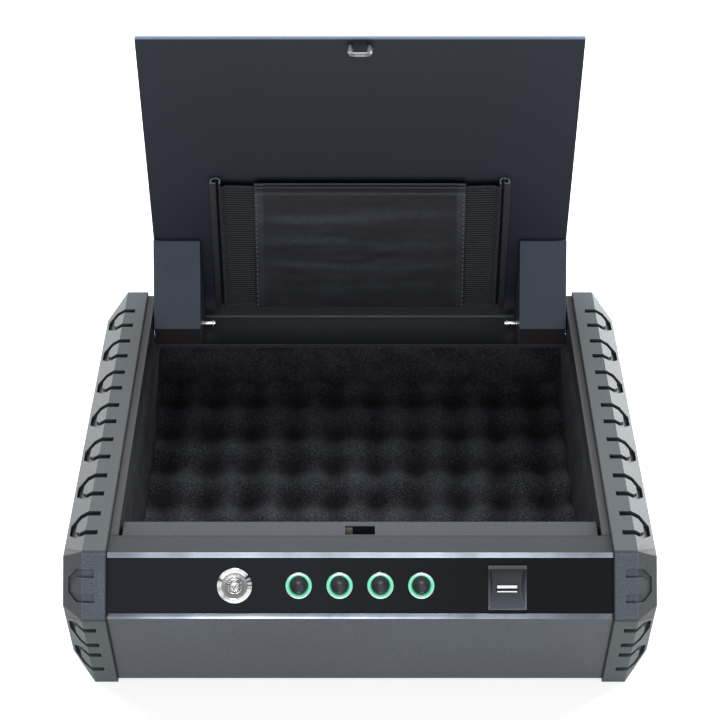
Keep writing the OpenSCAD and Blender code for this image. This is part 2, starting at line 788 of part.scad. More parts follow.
module latch_bracket() color("#8d9096") {
  low = -22;
  high = 30;
  leg_y = tab_y + slider_d + latch_travel + 1.2;
  difference() {
    box([low, tab_y - 4, plate_z], [high, wall_y, plate_z + plate_t]);
    translate([drive_x, drive_y, plate_z - over])
      cylinder(h = plate_t + 2 * over, r = drive_pin_r + 0.5);
  }
  box([low, wall_y - plate_t, plate_z - 14], [high, wall_y, plate_z + plate_t / 2]);
  for (x = [[low + 2, -8], [drive_x + 11, high - 2]])
    box([x[0], tab_y - 2, plate_z + plate_t / 2], [x[1], leg_y, arm_z - pad_gap]);
  both_sides() {
    box([frame_half, wing_y - wing_t, guide_z], [frame_half + 2, wall_y, guide_top + 1.5]);
    box([frame_half, leg_y, plate_z + plate_t / 2], [frame_half + 2, wall_y, guide_z + over]);
    box([cheek_in, wing_y - wing_t, guide_z], [frame_half + 1, wing_y, guide_top + 1.5]);
    box([cheek_in, guide_y, guide_z], [cheek_in + cheek_t, wing_y - wing_t / 2, guide_top + 1.5]);
  }
  box([-cheek_in - cheek_t / 2, guide_y, guide_top],
      [cheek_in + cheek_t / 2, wing_y, guide_top + 1.5]);
}

module latch_catch() color("#c2a25a")
  box([-slot_w / 2 + 0.15, wall_y - 3.2, tongue_top - 15],
      [-tongue_w / 2 - 0.9, wall_y, front_flange_z - 0.5]);

module latch_slider() color("#a8abb0") {
  difference() {
    box([tab_x, tab_y, arm_z], [drive_x + 16, tab_y + slider_d, arm_z + arm_t]);
    translate([drive_x + (drive_e + drive_e / root2) / 2, drive_y - latch_travel / 2,
               arm_z - over])
      linear_extrude(arm_t + 2 * over) {
        half = (drive_e - drive_e / root2) / 2;
        for (s = [-1, 1]) translate([s * half, 0]) circle(r = drive_pin_r + yoke_gap);
        square([2 * half, 2 * (drive_pin_r + yoke_gap)], center = true);
      }
  }
  box([tab_x, tab_y, arm_z + arm_t / 2], [tab_x + tab_w, tab_y + tab_t, tab_top]);
  box([-tongue_w / 2, tab_y + tab_t, arm_z + arm_t / 2],
      [tongue_w / 2, tab_y + tab_t + post_t, tongue_top]);
  slab(-tongue_w / 2, tongue_w / 2) polygon([
    [tab_y + tab_t + post_t / 2, tongue_top - tongue_h], [tongue_tip - 1, tongue_top - tongue_h],
    [tongue_tip, tongue_top - tongue_h + 1], [tongue_tip, tongue_top - 3],
    [tongue_tip - 3, tongue_top], [tab_y + tab_t + post_t / 2, tongue_top]
  ]);
}

module drive_cam() color("#d6d8dc") {
  translate([drive_x, drive_y, disc_z]) cylinder(h = drive_disc_t, r = drive_e + 2.5);
  translate([drive_x, drive_y, plate_z - 2])
    cylinder(h = disc_z - plate_z + 2 + drive_disc_t / 2, r = drive_pin_r);
  translate([drive_x + drive_e / root2, drive_y - drive_e / root2, disc_z])
    cylinder(h = arm_z + arm_t + 0.6 - disc_z, r = drive_pin_r);
}

module latch_motor() color("#9a9ca2") translate([drive_x, drive_y, plate_z - motor_l])
  difference() {
    union() {
      cylinder(h = motor_l, d = motor_d);
      translate([0, 0, -2]) cylinder(h = 2 + over, d = motor_d / 3);
    }
    translate([0, 0, motor_l - 2.3]) cylinder(h = 3, r = drive_pin_r + 0.1);
  }

module battery_holder() color("#26282b") translate([tray_x, tray_y, sheet_t]) difference() {
  cube([tray_l, tray_w, cell_d]);
  translate([tray_t, tray_t, tray_t]) cube([tray_l - 2 * tray_t, tray_w - 2 * tray_t, cell_d]);
}

module battery_cells() color("#b58a3c")
  for (i = [0, 1], j = [0, 1])
    translate([tray_x + tray_t + cell_room + i * cell_step,
               tray_y + tray_t + cell_room + cell_d / 2 + j * row_step,
               sheet_t + tray_t + cell_d / 2])
      rod_x(0, cell_l, 0, 0, cell_d / 2);

// Height of the egg-crate foam at grid step k of a wave: crests and hollows joined by slopes
function crate(k) = (k + 1) % 4 < 2 ? foam_wave / 2 : -foam_wave / 2;

module floor_foam() color("#1f2022") {
  nx = foam_nx * 4;
  ny = foam_ny * 4;
  x0 = -liner_half + soft_gap;
  y0 = cavity_front + soft_gap;
  y1 = cavity_rear - soft_gap;
  row = nx + 1;
  n = row * (ny + 1);
  top = [for (j = [0:ny], i = [0:nx])
    [x0 - 2 * x0 * i / nx, y0 + (y1 - y0) * j / ny, sheet_t + foam_mid + crate(i) + crate(j)]];
  // Points of the rim in turn, with a base point below each and one in the middle of the base
  rim = concat(
    [for (i = [0:nx - 1]) i], [for (j = [0:ny - 1]) j * row + nx],
    [for (i = [nx:-1:1]) ny * row + i], [for (j = [ny:-1:1]) j * row]
  );
  m = len(rim);
  base = [for (k = rim) [top[k].x, top[k].y, sheet_t]];
  polyhedron(
    points = concat(top, base, [[0, (y0 + y1) / 2, sheet_t]]),
    faces = concat(
      [for (j = [0:ny - 1], i = [0:nx - 1]) [j * row + i, (j + 1) * row + i, j * row + i + 1]],
      [for (j = [0:ny - 1], i = [0:nx - 1])
        [j * row + i + 1, (j + 1) * row + i, (j + 1) * row + i + 1]],
      [for (k = [0:m - 1]) [rim[k], rim[(k + 1) % m], n + (k + 1) % m, n + k]],
      [for (k = [0:m - 1]) [n + m, n + k, n + (k + 1) % m]]
    )
  );
}

module side_liner() difference() {
  box([liner_half, cover_y + soft_gap, sheet_t],
      [side_in, cavity_rear - soft_gap, case_h - side_flange_h - soft_gap]);
  box([liner_half - over, hinge_y - bracket_reach - 2, hinge_z - bracket_drop - 3],
      [side_in + over, rear_in, case_h]);
  for (p = screw_yz)
    rod_x(side_in - screw_head_h - soft_gap, side_in + over, p[0], p[1],
          screw_head_d / 2 + soft_gap);
}

module left_liner() color("#232427") mirror([1, 0, 0]) side_liner();
module right_liner() color("#232427") side_liner();

module front_liner() color("#232427")
  box([-liner_half + soft_gap, cover_y, 2 * sheet_t],
      [liner_half - soft_gap, cavity_front, front_liner_top]);

module rear_liner() color("#232427")
  box([-side_in + soft_gap, cavity_rear, sheet_t], [side_in - soft_gap, rear_in, rear_liner_h]);

module hinge_bracket() difference() {
  union() {
    box([side_in - bracket_t, hinge_y - bracket_reach, hinge_z - bracket_drop],
        [side_in, rear_in, hinge_z + bracket_rise]);
    rod_x(liner_half - 0.5, side_in, hinge_y, hinge_z, 5.5);
  }
  rod_x(liner_half - 2, side_in + over, hinge_y, hinge_z, pin_d / 2 + 0.01);
}

module left_hinge_bracket() color("#77797e") mirror([1, 0, 0]) hinge_bracket();
module right_hinge_bracket() color("#77797e") hinge_bracket();

module hinge_pins() color("#dfe1e4") both_sides() difference() {
  rod_x(pin_in, side_in, hinge_y, hinge_z, pin_d / 2);
  translate([pin_in + clip_set, hinge_y, hinge_z]) rotate([0, 90, 0]) difference() {
    cylinder(h = clip_t, r = pin_d);
    translate([0, 0, -over]) cylinder(h = clip_t + 2 * over, r = pin_d / 2 - 0.4);
  }
}

module pin_clips() color("#c9cbd0") both_sides()
  translate([pin_in + clip_set + 0.05, hinge_y, hinge_z]) rotate([0, 90, 0]) difference() {
    cylinder(h = clip_t - 0.1, r = pin_d / 2 + 1.2);
    translate([0, 0, -over]) cylinder(h = clip_t + 2 * over, r = pin_d / 2 - 0.35);
    translate([-1.3, 0, -over]) cube([2.6, pin_d, clip_t + 2 * over]);
  }

module lid_panel() color("#2f3236") opened() slab(-lid_half, lid_half) {
  bend = lid_t + 0.8;
  polygon(concat(
    [[lid_front, lid_in], [apron_in - 0.8, lid_in], [apron_in, lid_in - 0.8],
     [apron_in, apron_z], [case_rear, apron_z]],
    arc([case_rear - bend, case_h - bend], bend, 0, 90),
    [[lid_front, case_h]]
  ));
}

// Point of the lid at distance s from the apron and t below the lid plate
function lid_point(s, t) = [apron_in - s, lid_in - t];

module gusset() difference() {
  k = (gusset_l - gusset_foot) / (apron_h - gusset_lip);
  shift = gusset_t * sqrt(1 + k * k);
  inner_t = apron_h - gusset_t;
  tip = gusset_l - gusset_t;
  slab(gusset_in, lid_half) polygon([
    lid_point(0.8, 0), lid_point(gusset_l, 0), lid_point(gusset_l, gusset_lip),
    lid_point(gusset_foot, apron_h), lid_point(0, apron_h), lid_point(0, 0.8)
  ]);
  slab(gusset_in + gusset_t, lid_half - gusset_t) polygon([
    lid_point(-over, -over), lid_point(tip, -over),
    lid_point(tip, gusset_lip + (gusset_t - shift) / k),
    lid_point(gusset_l - shift - (inner_t - gusset_lip) * k, inner_t),
    lid_point(-over, inner_t)
  ]);
  rod_x(gusset_in - over, lid_half + over, hinge_y, hinge_z, bush_d / 2 + 0.02);
}

module left_gusset() color("#3f4349") opened() mirror([1, 0, 0]) gusset();
module right_gusset() color("#3f4349") opened() gusset();

module bush(x, dir) translate([x, hinge_y, hinge_z]) rotate([0, 90 * dir, 0]) difference() {
  union() {
    cylinder(h = gusset_t, d = bush_d);
    translate([0, 0, gusset_t]) cylinder(h = 1, d = bush_d + 3);
  }
  translate([0, 0, -over]) cylinder(h = gusset_t + 1 + 2 * over, r = pin_d / 2 + pin_gap);
}

module hinge_bushes() color("#b79a5b") opened() both_sides() {
  bush(gusset_in, 1);
  bush(lid_half, -1);
}

module striker() color("#c9cbd0") opened() translate([0, slot_y, 0]) {
  r = striker_wire / 2;
  half = striker_w / 2 - r;
  bend = 4.2;
  bar_z = lid_in - striker_h + r;
  both_sides() {
    translate([half, 0, bar_z + bend]) cylinder(h = lid_in - bar_z - bend, r = r);
    translate([half - bend, 0, bar_z + bend]) rotate([90, 0, 0])
      rotate([0, 0, -90]) rotate_extrude(angle = 90) translate([bend, 0]) circle(r = r);
  }
  rod_x(bend - half, half - bend, 0, bar_z, r);
}

// Round-backed channel with a slit near its inner edge, turned outwards about its top
module rail() translate([rail_x, rail_top, 0]) rotate([0, 0, -asin(rail_splay / rail_l)])
  along_y(0, rail_l) translate([rail_w / 2, lid_in - rail_w / 2]) difference() {
    inner = rail_w / 2 - rail_t;
    union() {
      circle(r = rail_w / 2);
      translate([-rail_w / 2, rail_w / 2 - rail_h]) square([rail_w, rail_h - rail_w / 2]);
    }
    circle(r = inner);
    translate([-inner, rail_w / 2 - rail_h + rail_t])
      square([2 * inner, rail_h - rail_w / 2 - rail_t]);
    translate([-inner, -rail_h]) square([slit_w, rail_h]);
  }

module left_rail() color("#303338") opened() mirror([1, 0, 0]) rail();
module right_rail() color("#303338") opened() rail();

// Half width of the pocket at a distance from the top of its back panel
function pouch_edge(y) = pouch_half + y * pouch_splay / pouch_h;

// Webbing between the edge of the pocket and the rail
module elastic() translate([0, pouch_top, elastic_z]) linear_extrude(elastic_t) {
  end = 1.6;
  k = rail_splay / rail_l;
  lead = pouch_top - rail_top;
  polygon([
    for (y = [end, pouch_h - end]) [pouch_edge(y) + soft_gap, y],
    for (y = [pouch_h - end, end]) [rail_x + (y + lead) * k - soft_gap, y]
  ]);
}

module left_elastic() color("#2a2c30") opened() mirror([1, 0, 0]) elastic();
module right_elastic() color("#2a2c30") opened() elastic();

// Panel of the pocket, t thick from height z, and lower by step at its mouth
module pouch_panel(z, t, step) translate([0, pouch_top, z]) linear_extrude(t) polygon([
  for (y = [step, pouch_h]) [pouch_edge(y), y],
  for (y = [pouch_h, step]) [-pouch_edge(y), y]
]);

module pouch_back() color("#2a2a31") opened()
  pouch_panel(elastic_z + elastic_t / 2, cloth_t, 0);

module pouch_front() color("#2f2f37") opened()
  pouch_panel(elastic_z + elastic_t / 2 - soft_gap - cloth_t, cloth_t, pouch_step);

case_shell();
mechanism_cover();
left_bumper();
right_bumper();
bumper_screws();
control_panel();
upper_trim();
lower_trim();
lock_housing();
lock_nut();
key_cylinder();
key_cam();
button_rings();
button_cap_1();
button_cap_2();
button_cap_3();
button_cap_4();
button_switches();
control_board();
board_posts();
fingerprint_frame();
fingerprint_sensor();
latch_bracket();
latch_catch();
latch_slider();
drive_cam();
latch_motor();
battery_holder();
battery_cells();
floor_foam();
left_liner();
right_liner();
front_liner();
rear_liner();
left_hinge_bracket();
right_hinge_bracket();
hinge_pins();
pin_clips();
lid_panel();
left_gusset();
right_gusset();
hinge_bushes();
striker();
left_rail();
right_rail();
left_elastic();
right_elastic();
pouch_back();
pouch_front();
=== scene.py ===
"""Dresses the CAD frame of a furniture safe: paint, mouldings, controls, foam and cloth."""

import math

import bmesh
import bpy
from bpy.props import FloatProperty, FloatVectorProperty, PointerProperty
from mathutils import Matrix, Vector, noise


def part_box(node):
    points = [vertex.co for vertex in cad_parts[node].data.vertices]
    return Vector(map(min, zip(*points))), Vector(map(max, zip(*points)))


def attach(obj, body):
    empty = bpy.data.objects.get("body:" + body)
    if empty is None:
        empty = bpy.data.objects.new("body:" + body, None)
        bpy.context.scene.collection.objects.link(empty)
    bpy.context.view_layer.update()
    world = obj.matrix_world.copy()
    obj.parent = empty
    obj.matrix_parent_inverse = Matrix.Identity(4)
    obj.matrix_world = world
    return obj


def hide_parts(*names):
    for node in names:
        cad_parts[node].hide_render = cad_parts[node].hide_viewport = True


bl_info = {
    "name": "Furniture Safe",
    "version": (1, 0, 0),
    "blender": (4, 5, 0),
    "location": "View3D > Sidebar > Safe",
    "description": "Finishes the steel, mouldings, controls, foam and pocket of a furniture safe",
    "category": "Object",
}

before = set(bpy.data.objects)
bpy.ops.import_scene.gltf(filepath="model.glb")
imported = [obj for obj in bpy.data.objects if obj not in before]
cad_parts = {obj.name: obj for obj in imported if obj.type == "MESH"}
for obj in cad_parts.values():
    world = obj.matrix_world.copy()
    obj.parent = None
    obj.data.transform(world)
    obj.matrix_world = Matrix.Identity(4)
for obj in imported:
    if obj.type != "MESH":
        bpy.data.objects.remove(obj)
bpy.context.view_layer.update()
MM = 0.001

# Frame of the control face: x across, y up the slope, z out of it
SLOPE = math.radians(45)
FACE = Matrix.Translation((0, -125 * MM, 83 * MM)) @ Matrix.Rotation(SLOPE, 4, "X")
# The lid is measured closed, and turned about its hinge to the open place of the rest pose
HINGE = Vector((0, 131 * MM, 78 * MM))
LID_OPENING = math.radians(98)
OPENED = (
    Matrix.Translation(HINGE)
    @ Matrix.Rotation(-LID_OPENING, 4, "X")
    @ Matrix.Translation(-HINGE)
)
# Frame of the pocket: x across, y up the lid from the apron, z out of the lid
LID = OPENED @ Matrix.Translation((0, 137 * MM, 95 * MM)) @ Matrix.Rotation(math.pi, 4, "X")

# Middles of the controls, across the face
LOCK_X = -80.4 * MM
BUTTON_X = [x * MM for x in (-39.3, -13.1, 13.1, 39.3)]
READER_X = 94.4 * MM

# Edges of the CAD nodes that turn by more than this are rounded
SHARP = math.radians(28)
WHITE = (1, 1, 1, 1)


def swatch(name, text, rgb):
    return FloatVectorProperty(
        name=name, description=text, default=rgb, subtype="COLOR", size=3, min=0, max=1
    )


def length(name, text, value):
    return FloatProperty(name=name, description=text, default=value, unit="LENGTH", precision=4)


class SafeColours(bpy.types.PropertyGroup):
    """Colours of the finishes, as linear values"""

    case: swatch("Case", "Powder coat of the case", (0.077, 0.086, 0.102))
    lid: swatch("Lid", "Satin paint inside the lid", (0.0088, 0.0120, 0.0210))
    gusset: swatch("Gussets", "Paint of the hinge gussets", (0.0445, 0.058, 0.084))
    bumper: swatch("Bumpers", "Moulded plastic of the bumpers", (0.094, 0.109, 0.119))
    panel: swatch("Panel", "Gloss of the control panel", (0.0052, 0.0062, 0.0082))
    trim: swatch("Trim", "Satin metal of the trim strips", (0.40, 0.45, 0.53))
    reader: swatch("Reader", "Plastic of the fingerprint reader", (0.060, 0.066, 0.078))
    glow: swatch("Glow", "Light of the button rings", (0.10, 0.72, 0.42))
    foam: swatch("Foam", "Egg-crate foam of the floor", (0.0215, 0.0225, 0.0275))
    # painted shade: the side liners are a darker copy of the foam sheet of the other walls
    liner: swatch("Side liners", "Foam sheet of the side walls", (0.0185, 0.0193, 0.0225))
    end_liner: swatch("End liners", "Foam sheet of the other walls", (0.026, 0.027, 0.032))
    rail: swatch("Rails", "Dark anodised rails of the pocket", (0.020, 0.020, 0.027))
    elastic: swatch("Elastic", "Ribbed webbing", (0.0170, 0.0182, 0.0215))
    pouch: swatch("Pouch", "Satin cloth of the pocket", (0.0108, 0.0115, 0.0160))


class SafeSizes(bpy.types.PropertyGroup):
    """Sizes of the details that the finish adds"""

    edge: length("Edge", "Radius of the folded steel edges", 0.5 * MM)
    moulded_edge: length("Moulded edge", "Radius of the edges of the mouldings", 0.45 * MM)
    foam_wave: length("Foam wave", "Height of the foam's waves about their middle", 4.5 * MM)
    foam_middle: length("Foam middle", "Height of the middle of the waves", 16 * MM)
    rib_pitch: length("Rib pitch", "Pitch of the ribs of the elastic", 1.9 * MM)
    stitch: length("Stitch", "Length of a stitch with its gap", 4.0 * MM)


class SafeStage(bpy.types.PropertyGroup):
    """Camera and light"""

    camera_back: length("Camera back", "Distance of the camera in front of the safe", 0.688)
    camera_up: length("Camera up", "Height of the camera", 0.821)
    camera_tilt: FloatProperty(
        name="Camera tilt", description="Angle from straight down", default=math.radians(46.3),
        subtype="ANGLE",
    )
    lens: FloatProperty(name="Lens", description="Focal length in millimetres", default=71.55)
    sky: FloatProperty(name="Sky", description="Strength of the even light", default=0.3)


# ---- materials ----


class Finish:
    """A material whose nodes are added one after another"""

    def __init__(self, name, base, roughness, metallic=0.0, gleam=0.25):
        self.material = bpy.data.materials.new(name)
        self.material.use_nodes = True
        self.tree = self.material.node_tree
        self.shader = self.tree.nodes["Principled BSDF"]
        self.set(Base_Color=(*base, 1), Roughness=roughness, Metallic=metallic,
                 Specular_IOR_Level=gleam)
        self.base = base
        self.place = self.tree.nodes.new("ShaderNodeTexCoord").outputs["Object"]

    def set(self, **sockets):
        """Sets sockets of the shader that are the same all over"""
        for name, value in sockets.items():
            self.shader.inputs[name.replace("_", " ")].default_value = value

    def drive(self, socket, value):
        """Links a value that changes over the surface to a socket of the shader"""
        self.tree.links.new(value, self.shader.inputs[socket])
        return value

    def node(self, kind, sources=(), **settings):
        made = self.tree.nodes.new(kind)
        for name, value in settings.items():
            setattr(made, name, value)
        for socket, source in dict(sources).items():
            if isinstance(source, bpy.types.NodeSocket):
                self.tree.links.new(source, made.inputs[socket])
            else:
                made.inputs[socket].default_value = source
        return made

    def stretched(self, scale):
        """Place on the piece, drawn out along one or two directions"""
        return self.node("ShaderNodeMapping", {"Vector": self.place, "Scale": scale}).outputs[0]

    def noise(self, scale, detail=2.0, rough=0.5, place=None):
        return self.node(
            "ShaderNodeTexNoise",
            {"Vector": place or self.place, "Scale": scale, "Detail": detail, "Roughness": rough},
        ).outputs["Fac"]

    def spread(self, value, low, high, start=0.0, end=1.0):
        """Turns start to end into low to high, and stays there outside them"""
        return self.node(
            "ShaderNodeMapRange",
            {"Value": value, "From Min": start, "From Max": end, "To Min": low, "To Max": high},
        ).outputs[0]

    def tag(self, name):
        """Value that a piece carries on its points"""
        return self.node("ShaderNodeAttribute", attribute_name=name).outputs["Fac"]

    def maths(self, operation, first, second):
        return self.node("ShaderNodeMath", {0: first, 1: second}, operation=operation).outputs[0]

    def times(self, value, *others):
        for other in others:
            value = self.maths("MULTIPLY", value, other)
        return value

    def mix(self, mask, first, second, blend="MIX"):
        """First colour where the mask is 0, second where it is 1"""
        return self.node(
            "ShaderNodeMix", {"Factor": mask, "A": first, "B": second}, data_type="RGBA",
            blend_type=blend,
        ).outputs["Result"]

    def between(self, value, low, high, soft=0.2 * MM):
        """1 where a value lies between two others, 0 elsewhere"""
        up = self.spread(value, 0, 1, low - soft, low + soft)
        down = self.spread(value, 1, 0, high - soft, high + soft)
        return self.times(up, down)

    def axes(self):
        """Distance from the middle plane, then x, y and z"""
        parts = self.node("ShaderNodeSeparateXYZ", {0: self.place}).outputs
        return self.node("ShaderNodeMath", {0: parts[0]}, operation="ABSOLUTE").outputs[0], *parts

    def facing(self):
        """Where the surface of the piece faces, as it is drawn open"""
        normal = self.node("ShaderNodeTexCoord").outputs["Normal"]
        return self.node("ShaderNodeSeparateXYZ", {0: normal}).outputs

    def tint(self, colour, mask, rgb):
        """Another colour where the mask is 1"""
        return self.mix(mask, colour, (*rgb, 1))

    def scaled(self, colour, value):
        """Base colour times a value"""
        return self.drive("Base Color", self.mix(1, colour, value, "MULTIPLY"))

    def relief(self, colour, depth=2.5 * MM, dark=0.3, edge=0.6 * MM, light=1.35, least=0.0):
        """Painted shade in gaps and corners, and painted highlights on edges"""
        shade = self.node("ShaderNodeAmbientOcclusion", {"Distance": depth}, samples=6)
        # painted shade: darker where other surfaces close in, never below least
        gaps = self.maths("MAXIMUM", self.spread(shade.outputs["AO"], dark, 1, 0.25, 0.85), least)
        rounded = self.node("ShaderNodeBevel", {"Radius": edge}, samples=4).outputs[0]
        flat = self.node("ShaderNodeNewGeometry").outputs["Normal"]
        turn = self.node("ShaderNodeVectorMath", {0: rounded, 1: flat}, operation="DOT_PRODUCT")
        # painted highlight: lighter where the rounded normal turns from the flat one
        edge_highlight = self.spread(turn.outputs["Value"], light, 1, 0.86, 0.985)
        return self.scaled(colour, self.times(gaps, edge_highlight))

    def tones(self, value, dark, light, start=0.3, end=0.7):
        """Base colour between two strengths of the finish's own colour"""
        darker, lighter = ([min(c * k, 1) for c in self.base] for k in (dark, light))
        mask = self.spread(value, 0, 1, start, end)
        return self.drive("Base Color", self.mix(mask, (*darker, 1), (*lighter, 1)))

    def rough(self, value, low, high):
        self.drive("Roughness", self.spread(value, low, high))

    def bump(self, height, depth, strength=1.0, below=None):
        """Fine relief, over another bump where one lies below"""
        sources = {"Height": height, "Distance": depth, "Strength": strength}
        if below is not None:
            sources["Normal"] = below
        return self.drive("Normal", self.node("ShaderNodeBump", sources).outputs[0])

    def eroded(self, roughness):
        """Texture of a spark-eroded mould: gives its specks"""
        specks = self.noise(1500, 3, 0.7)
        self.rough(specks, roughness - 0.08, roughness + 0.12)
        coarse = self.bump(self.noise(520), 0.06 * MM, 0.5)
        self.bump(specks, 0.05 * MM, 0.7, coarse)
        return specks


def powder_coat(name, base, roughness):
    """Fine grain and a faint cloud: gives the finish and its colour, to which zones are added"""
    finish = Finish(name, base, roughness)
    cloud = finish.noise(14, 3)
    finish.rough(cloud, roughness - 0.04, roughness + 0.05)
    finish.bump(finish.noise(1100), 0.03 * MM, 0.6)
    grit = finish.maths("ADD", cloud, finish.times(finish.noise(620), 1.5))
    return finish, finish.tones(grit, 0.88, 1.12, 0.9, 1.6)


def moulded_plastic(name, base, roughness):
    finish = Finish(name, base, roughness)
    finish.relief(finish.tones(finish.eroded(roughness), 0.80, 1.28, 0.35, 0.70))
    return finish.material


def gloss_plastic(name, base, roughness):
    finish = Finish(name, base, roughness)
    haze = finish.noise(60, 3)
    finish.rough(haze, roughness * 0.8, roughness * 1.5)
    finish.tones(haze, 0.9, 1.15)
    finish.bump(finish.noise(25), 0.05 * MM, 0.15)
    return finish.material


def drawn_metal(name, base, roughness, along):
    """Metal with fine lines along one direction"""
    finish = Finish(name, base, roughness, 1.0)
    lines = finish.noise(40, 3, 0.6, finish.stretched(along))
    finish.tones(lines, 0.82, 1.15)
    finish.rough(lines, roughness * 0.7, roughness * 1.4)
    finish.bump(lines, 0.02 * MM, 0.4)
    return finish.material


def soft_foam(name, base, cell, nap=0.1, waves=()):
    """Open cells, lint and a nap that catches the light, with painted shade in the pits of its
    waves and painted light on their tops
    """
    finish = Finish(name, base, 0.95, gleam=0.1)
    finish.set(Sheen_Weight=nap, Sheen_Roughness=0.45)
    cells = finish.noise(cell, 4, 0.75)
    cloud = finish.noise(38, 4, 0.6)
    colour = finish.tones(finish.times(cells, cloud), 0.45, 2.4, 0.14, 0.42)
    lint = finish.spread(finish.noise(1250, 2, 0.55), 0, 0.7, 0.54, 0.68)
    colour = finish.tint(colour, lint, [min(c * 7, 1) for c in base])
    if waves:
        # painted shade in the pits and painted light on the tops of the waves
        shade = finish.spread(finish.axes()[3], 0.38, 1.8, *waves)
    else:
        shade = finish.spread(cloud, 0.8, 1.2)
    finish.scaled(colour, shade)
    finish.bump(cells, 0.5 * MM, 0.9)
    return finish.material


# ---- shapes ----


def bell(value, centre, width):
    """1 at the centre, falling away within a width or two"""
    return math.exp(-(((value - centre) / width) ** 2))


def ease(value, start, end):
    """Smooth rise from 0 at start to 1 at end"""
    t = min(max((value - start) / (end - start), 0.0), 1.0)
    return t * t * (3 - 2 * t)


def tag(mesh, name, value):
    """Stores value(point) on each point of a bmesh, for a material to read"""
    layer = mesh.verts.layers.float.new(name)
    for vert in mesh.verts:
        vert[layer] = value(vert.co)


def smooth(mesh):
    for face in mesh.faces:
        face.smooth = True


def make_object(mesh, name, material):
    data = bpy.data.meshes.new(name)
    mesh.to_mesh(data)
    mesh.free()
    data.materials.append(material)
    made = bpy.data.objects.new(name, data)
    bpy.context.scene.collection.objects.link(made)
    return made


def finish_piece(mesh, name, material, body, hidden=()):
    """Makes an object of a bmesh and hands it to the frame"""
    piece = make_object(mesh, name, material)
    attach(piece, body)
    if hidden:
        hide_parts(*hidden)
    return piece


def paint(material, *nodes):
    """Gives CAD nodes a material"""
    for name in nodes:
        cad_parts[name].data.materials[0] = material


def round_edges(radius, *nodes, segments=2):
    """Welds a CAD node's triangles and rounds its sharp edges, without touching its mesh"""
    for name in nodes:
        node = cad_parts[name]
        weld = node.modifiers.new("Weld", "WELD")
        weld.merge_threshold = 0.002 * MM
        bevel = node.modifiers.new("Edges", "BEVEL")
        bevel.width = radius
        bevel.segments = segments
        bevel.limit_method = "ANGLE"
        bevel.angle_limit = SHARP
        bevel.harden_normals = True
        bevel.use_clamp_overlap = True


def on_face(x):
    """Frame of a control whose middle is at x on the control face"""
    return FACE @ Matrix.Translation((x, 0, 0))


def turned(profile, steps, place):
    """Lathe shape: (radius, height) points in millimetres turned about z, then put in place"""
    mesh = bmesh.new()
    points = [mesh.verts.new((r * MM, 0, z * MM)) for r, z in profile]
    edges = [mesh.edges.new(pair) for pair in zip(points, points[1:])]
    bmesh.ops.spin(
        mesh, geom=points + edges, cent=(0, 0, 0), axis=(0, 0, 1), angle=2 * math.pi,
        steps=steps, use_merge=True,
    )
    bmesh.ops.remove_doubles(mesh, verts=mesh.verts, dist=0.001 * MM)
    bmesh.ops.recalc_face_normals(mesh, faces=mesh.faces)
    smooth(mesh)
    mesh.transform(place)
    return mesh


def soften(mesh, radius, segments):
    """Rounds all edges of a bmesh"""
    bmesh.ops.bevel(
        mesh, geom=mesh.edges[:], offset=radius, segments=segments, profile=0.5,
        affect="EDGES", material=-1,
    )


def slab(size, centre, radius, segments, place=None):
    """Block with rounded edges"""
    mesh = bmesh.new()
    bmesh.ops.create_cube(mesh, size=1)
    bmesh.ops.scale(mesh, vec=size, verts=mesh.verts)
    soften(mesh, radius, segments)
    bmesh.ops.translate(mesh, vec=centre, verts=mesh.verts)
    if place is not None:
        mesh.transform(place)
    return mesh


def merge(target, mesh):
    """Adds a bmesh to another one"""
    data = bpy.data.meshes.new("part")
    mesh.to_mesh(data)
    mesh.free()
    target.from_mesh(data)
    bpy.data.meshes.remove(data)


# ---- operators ----


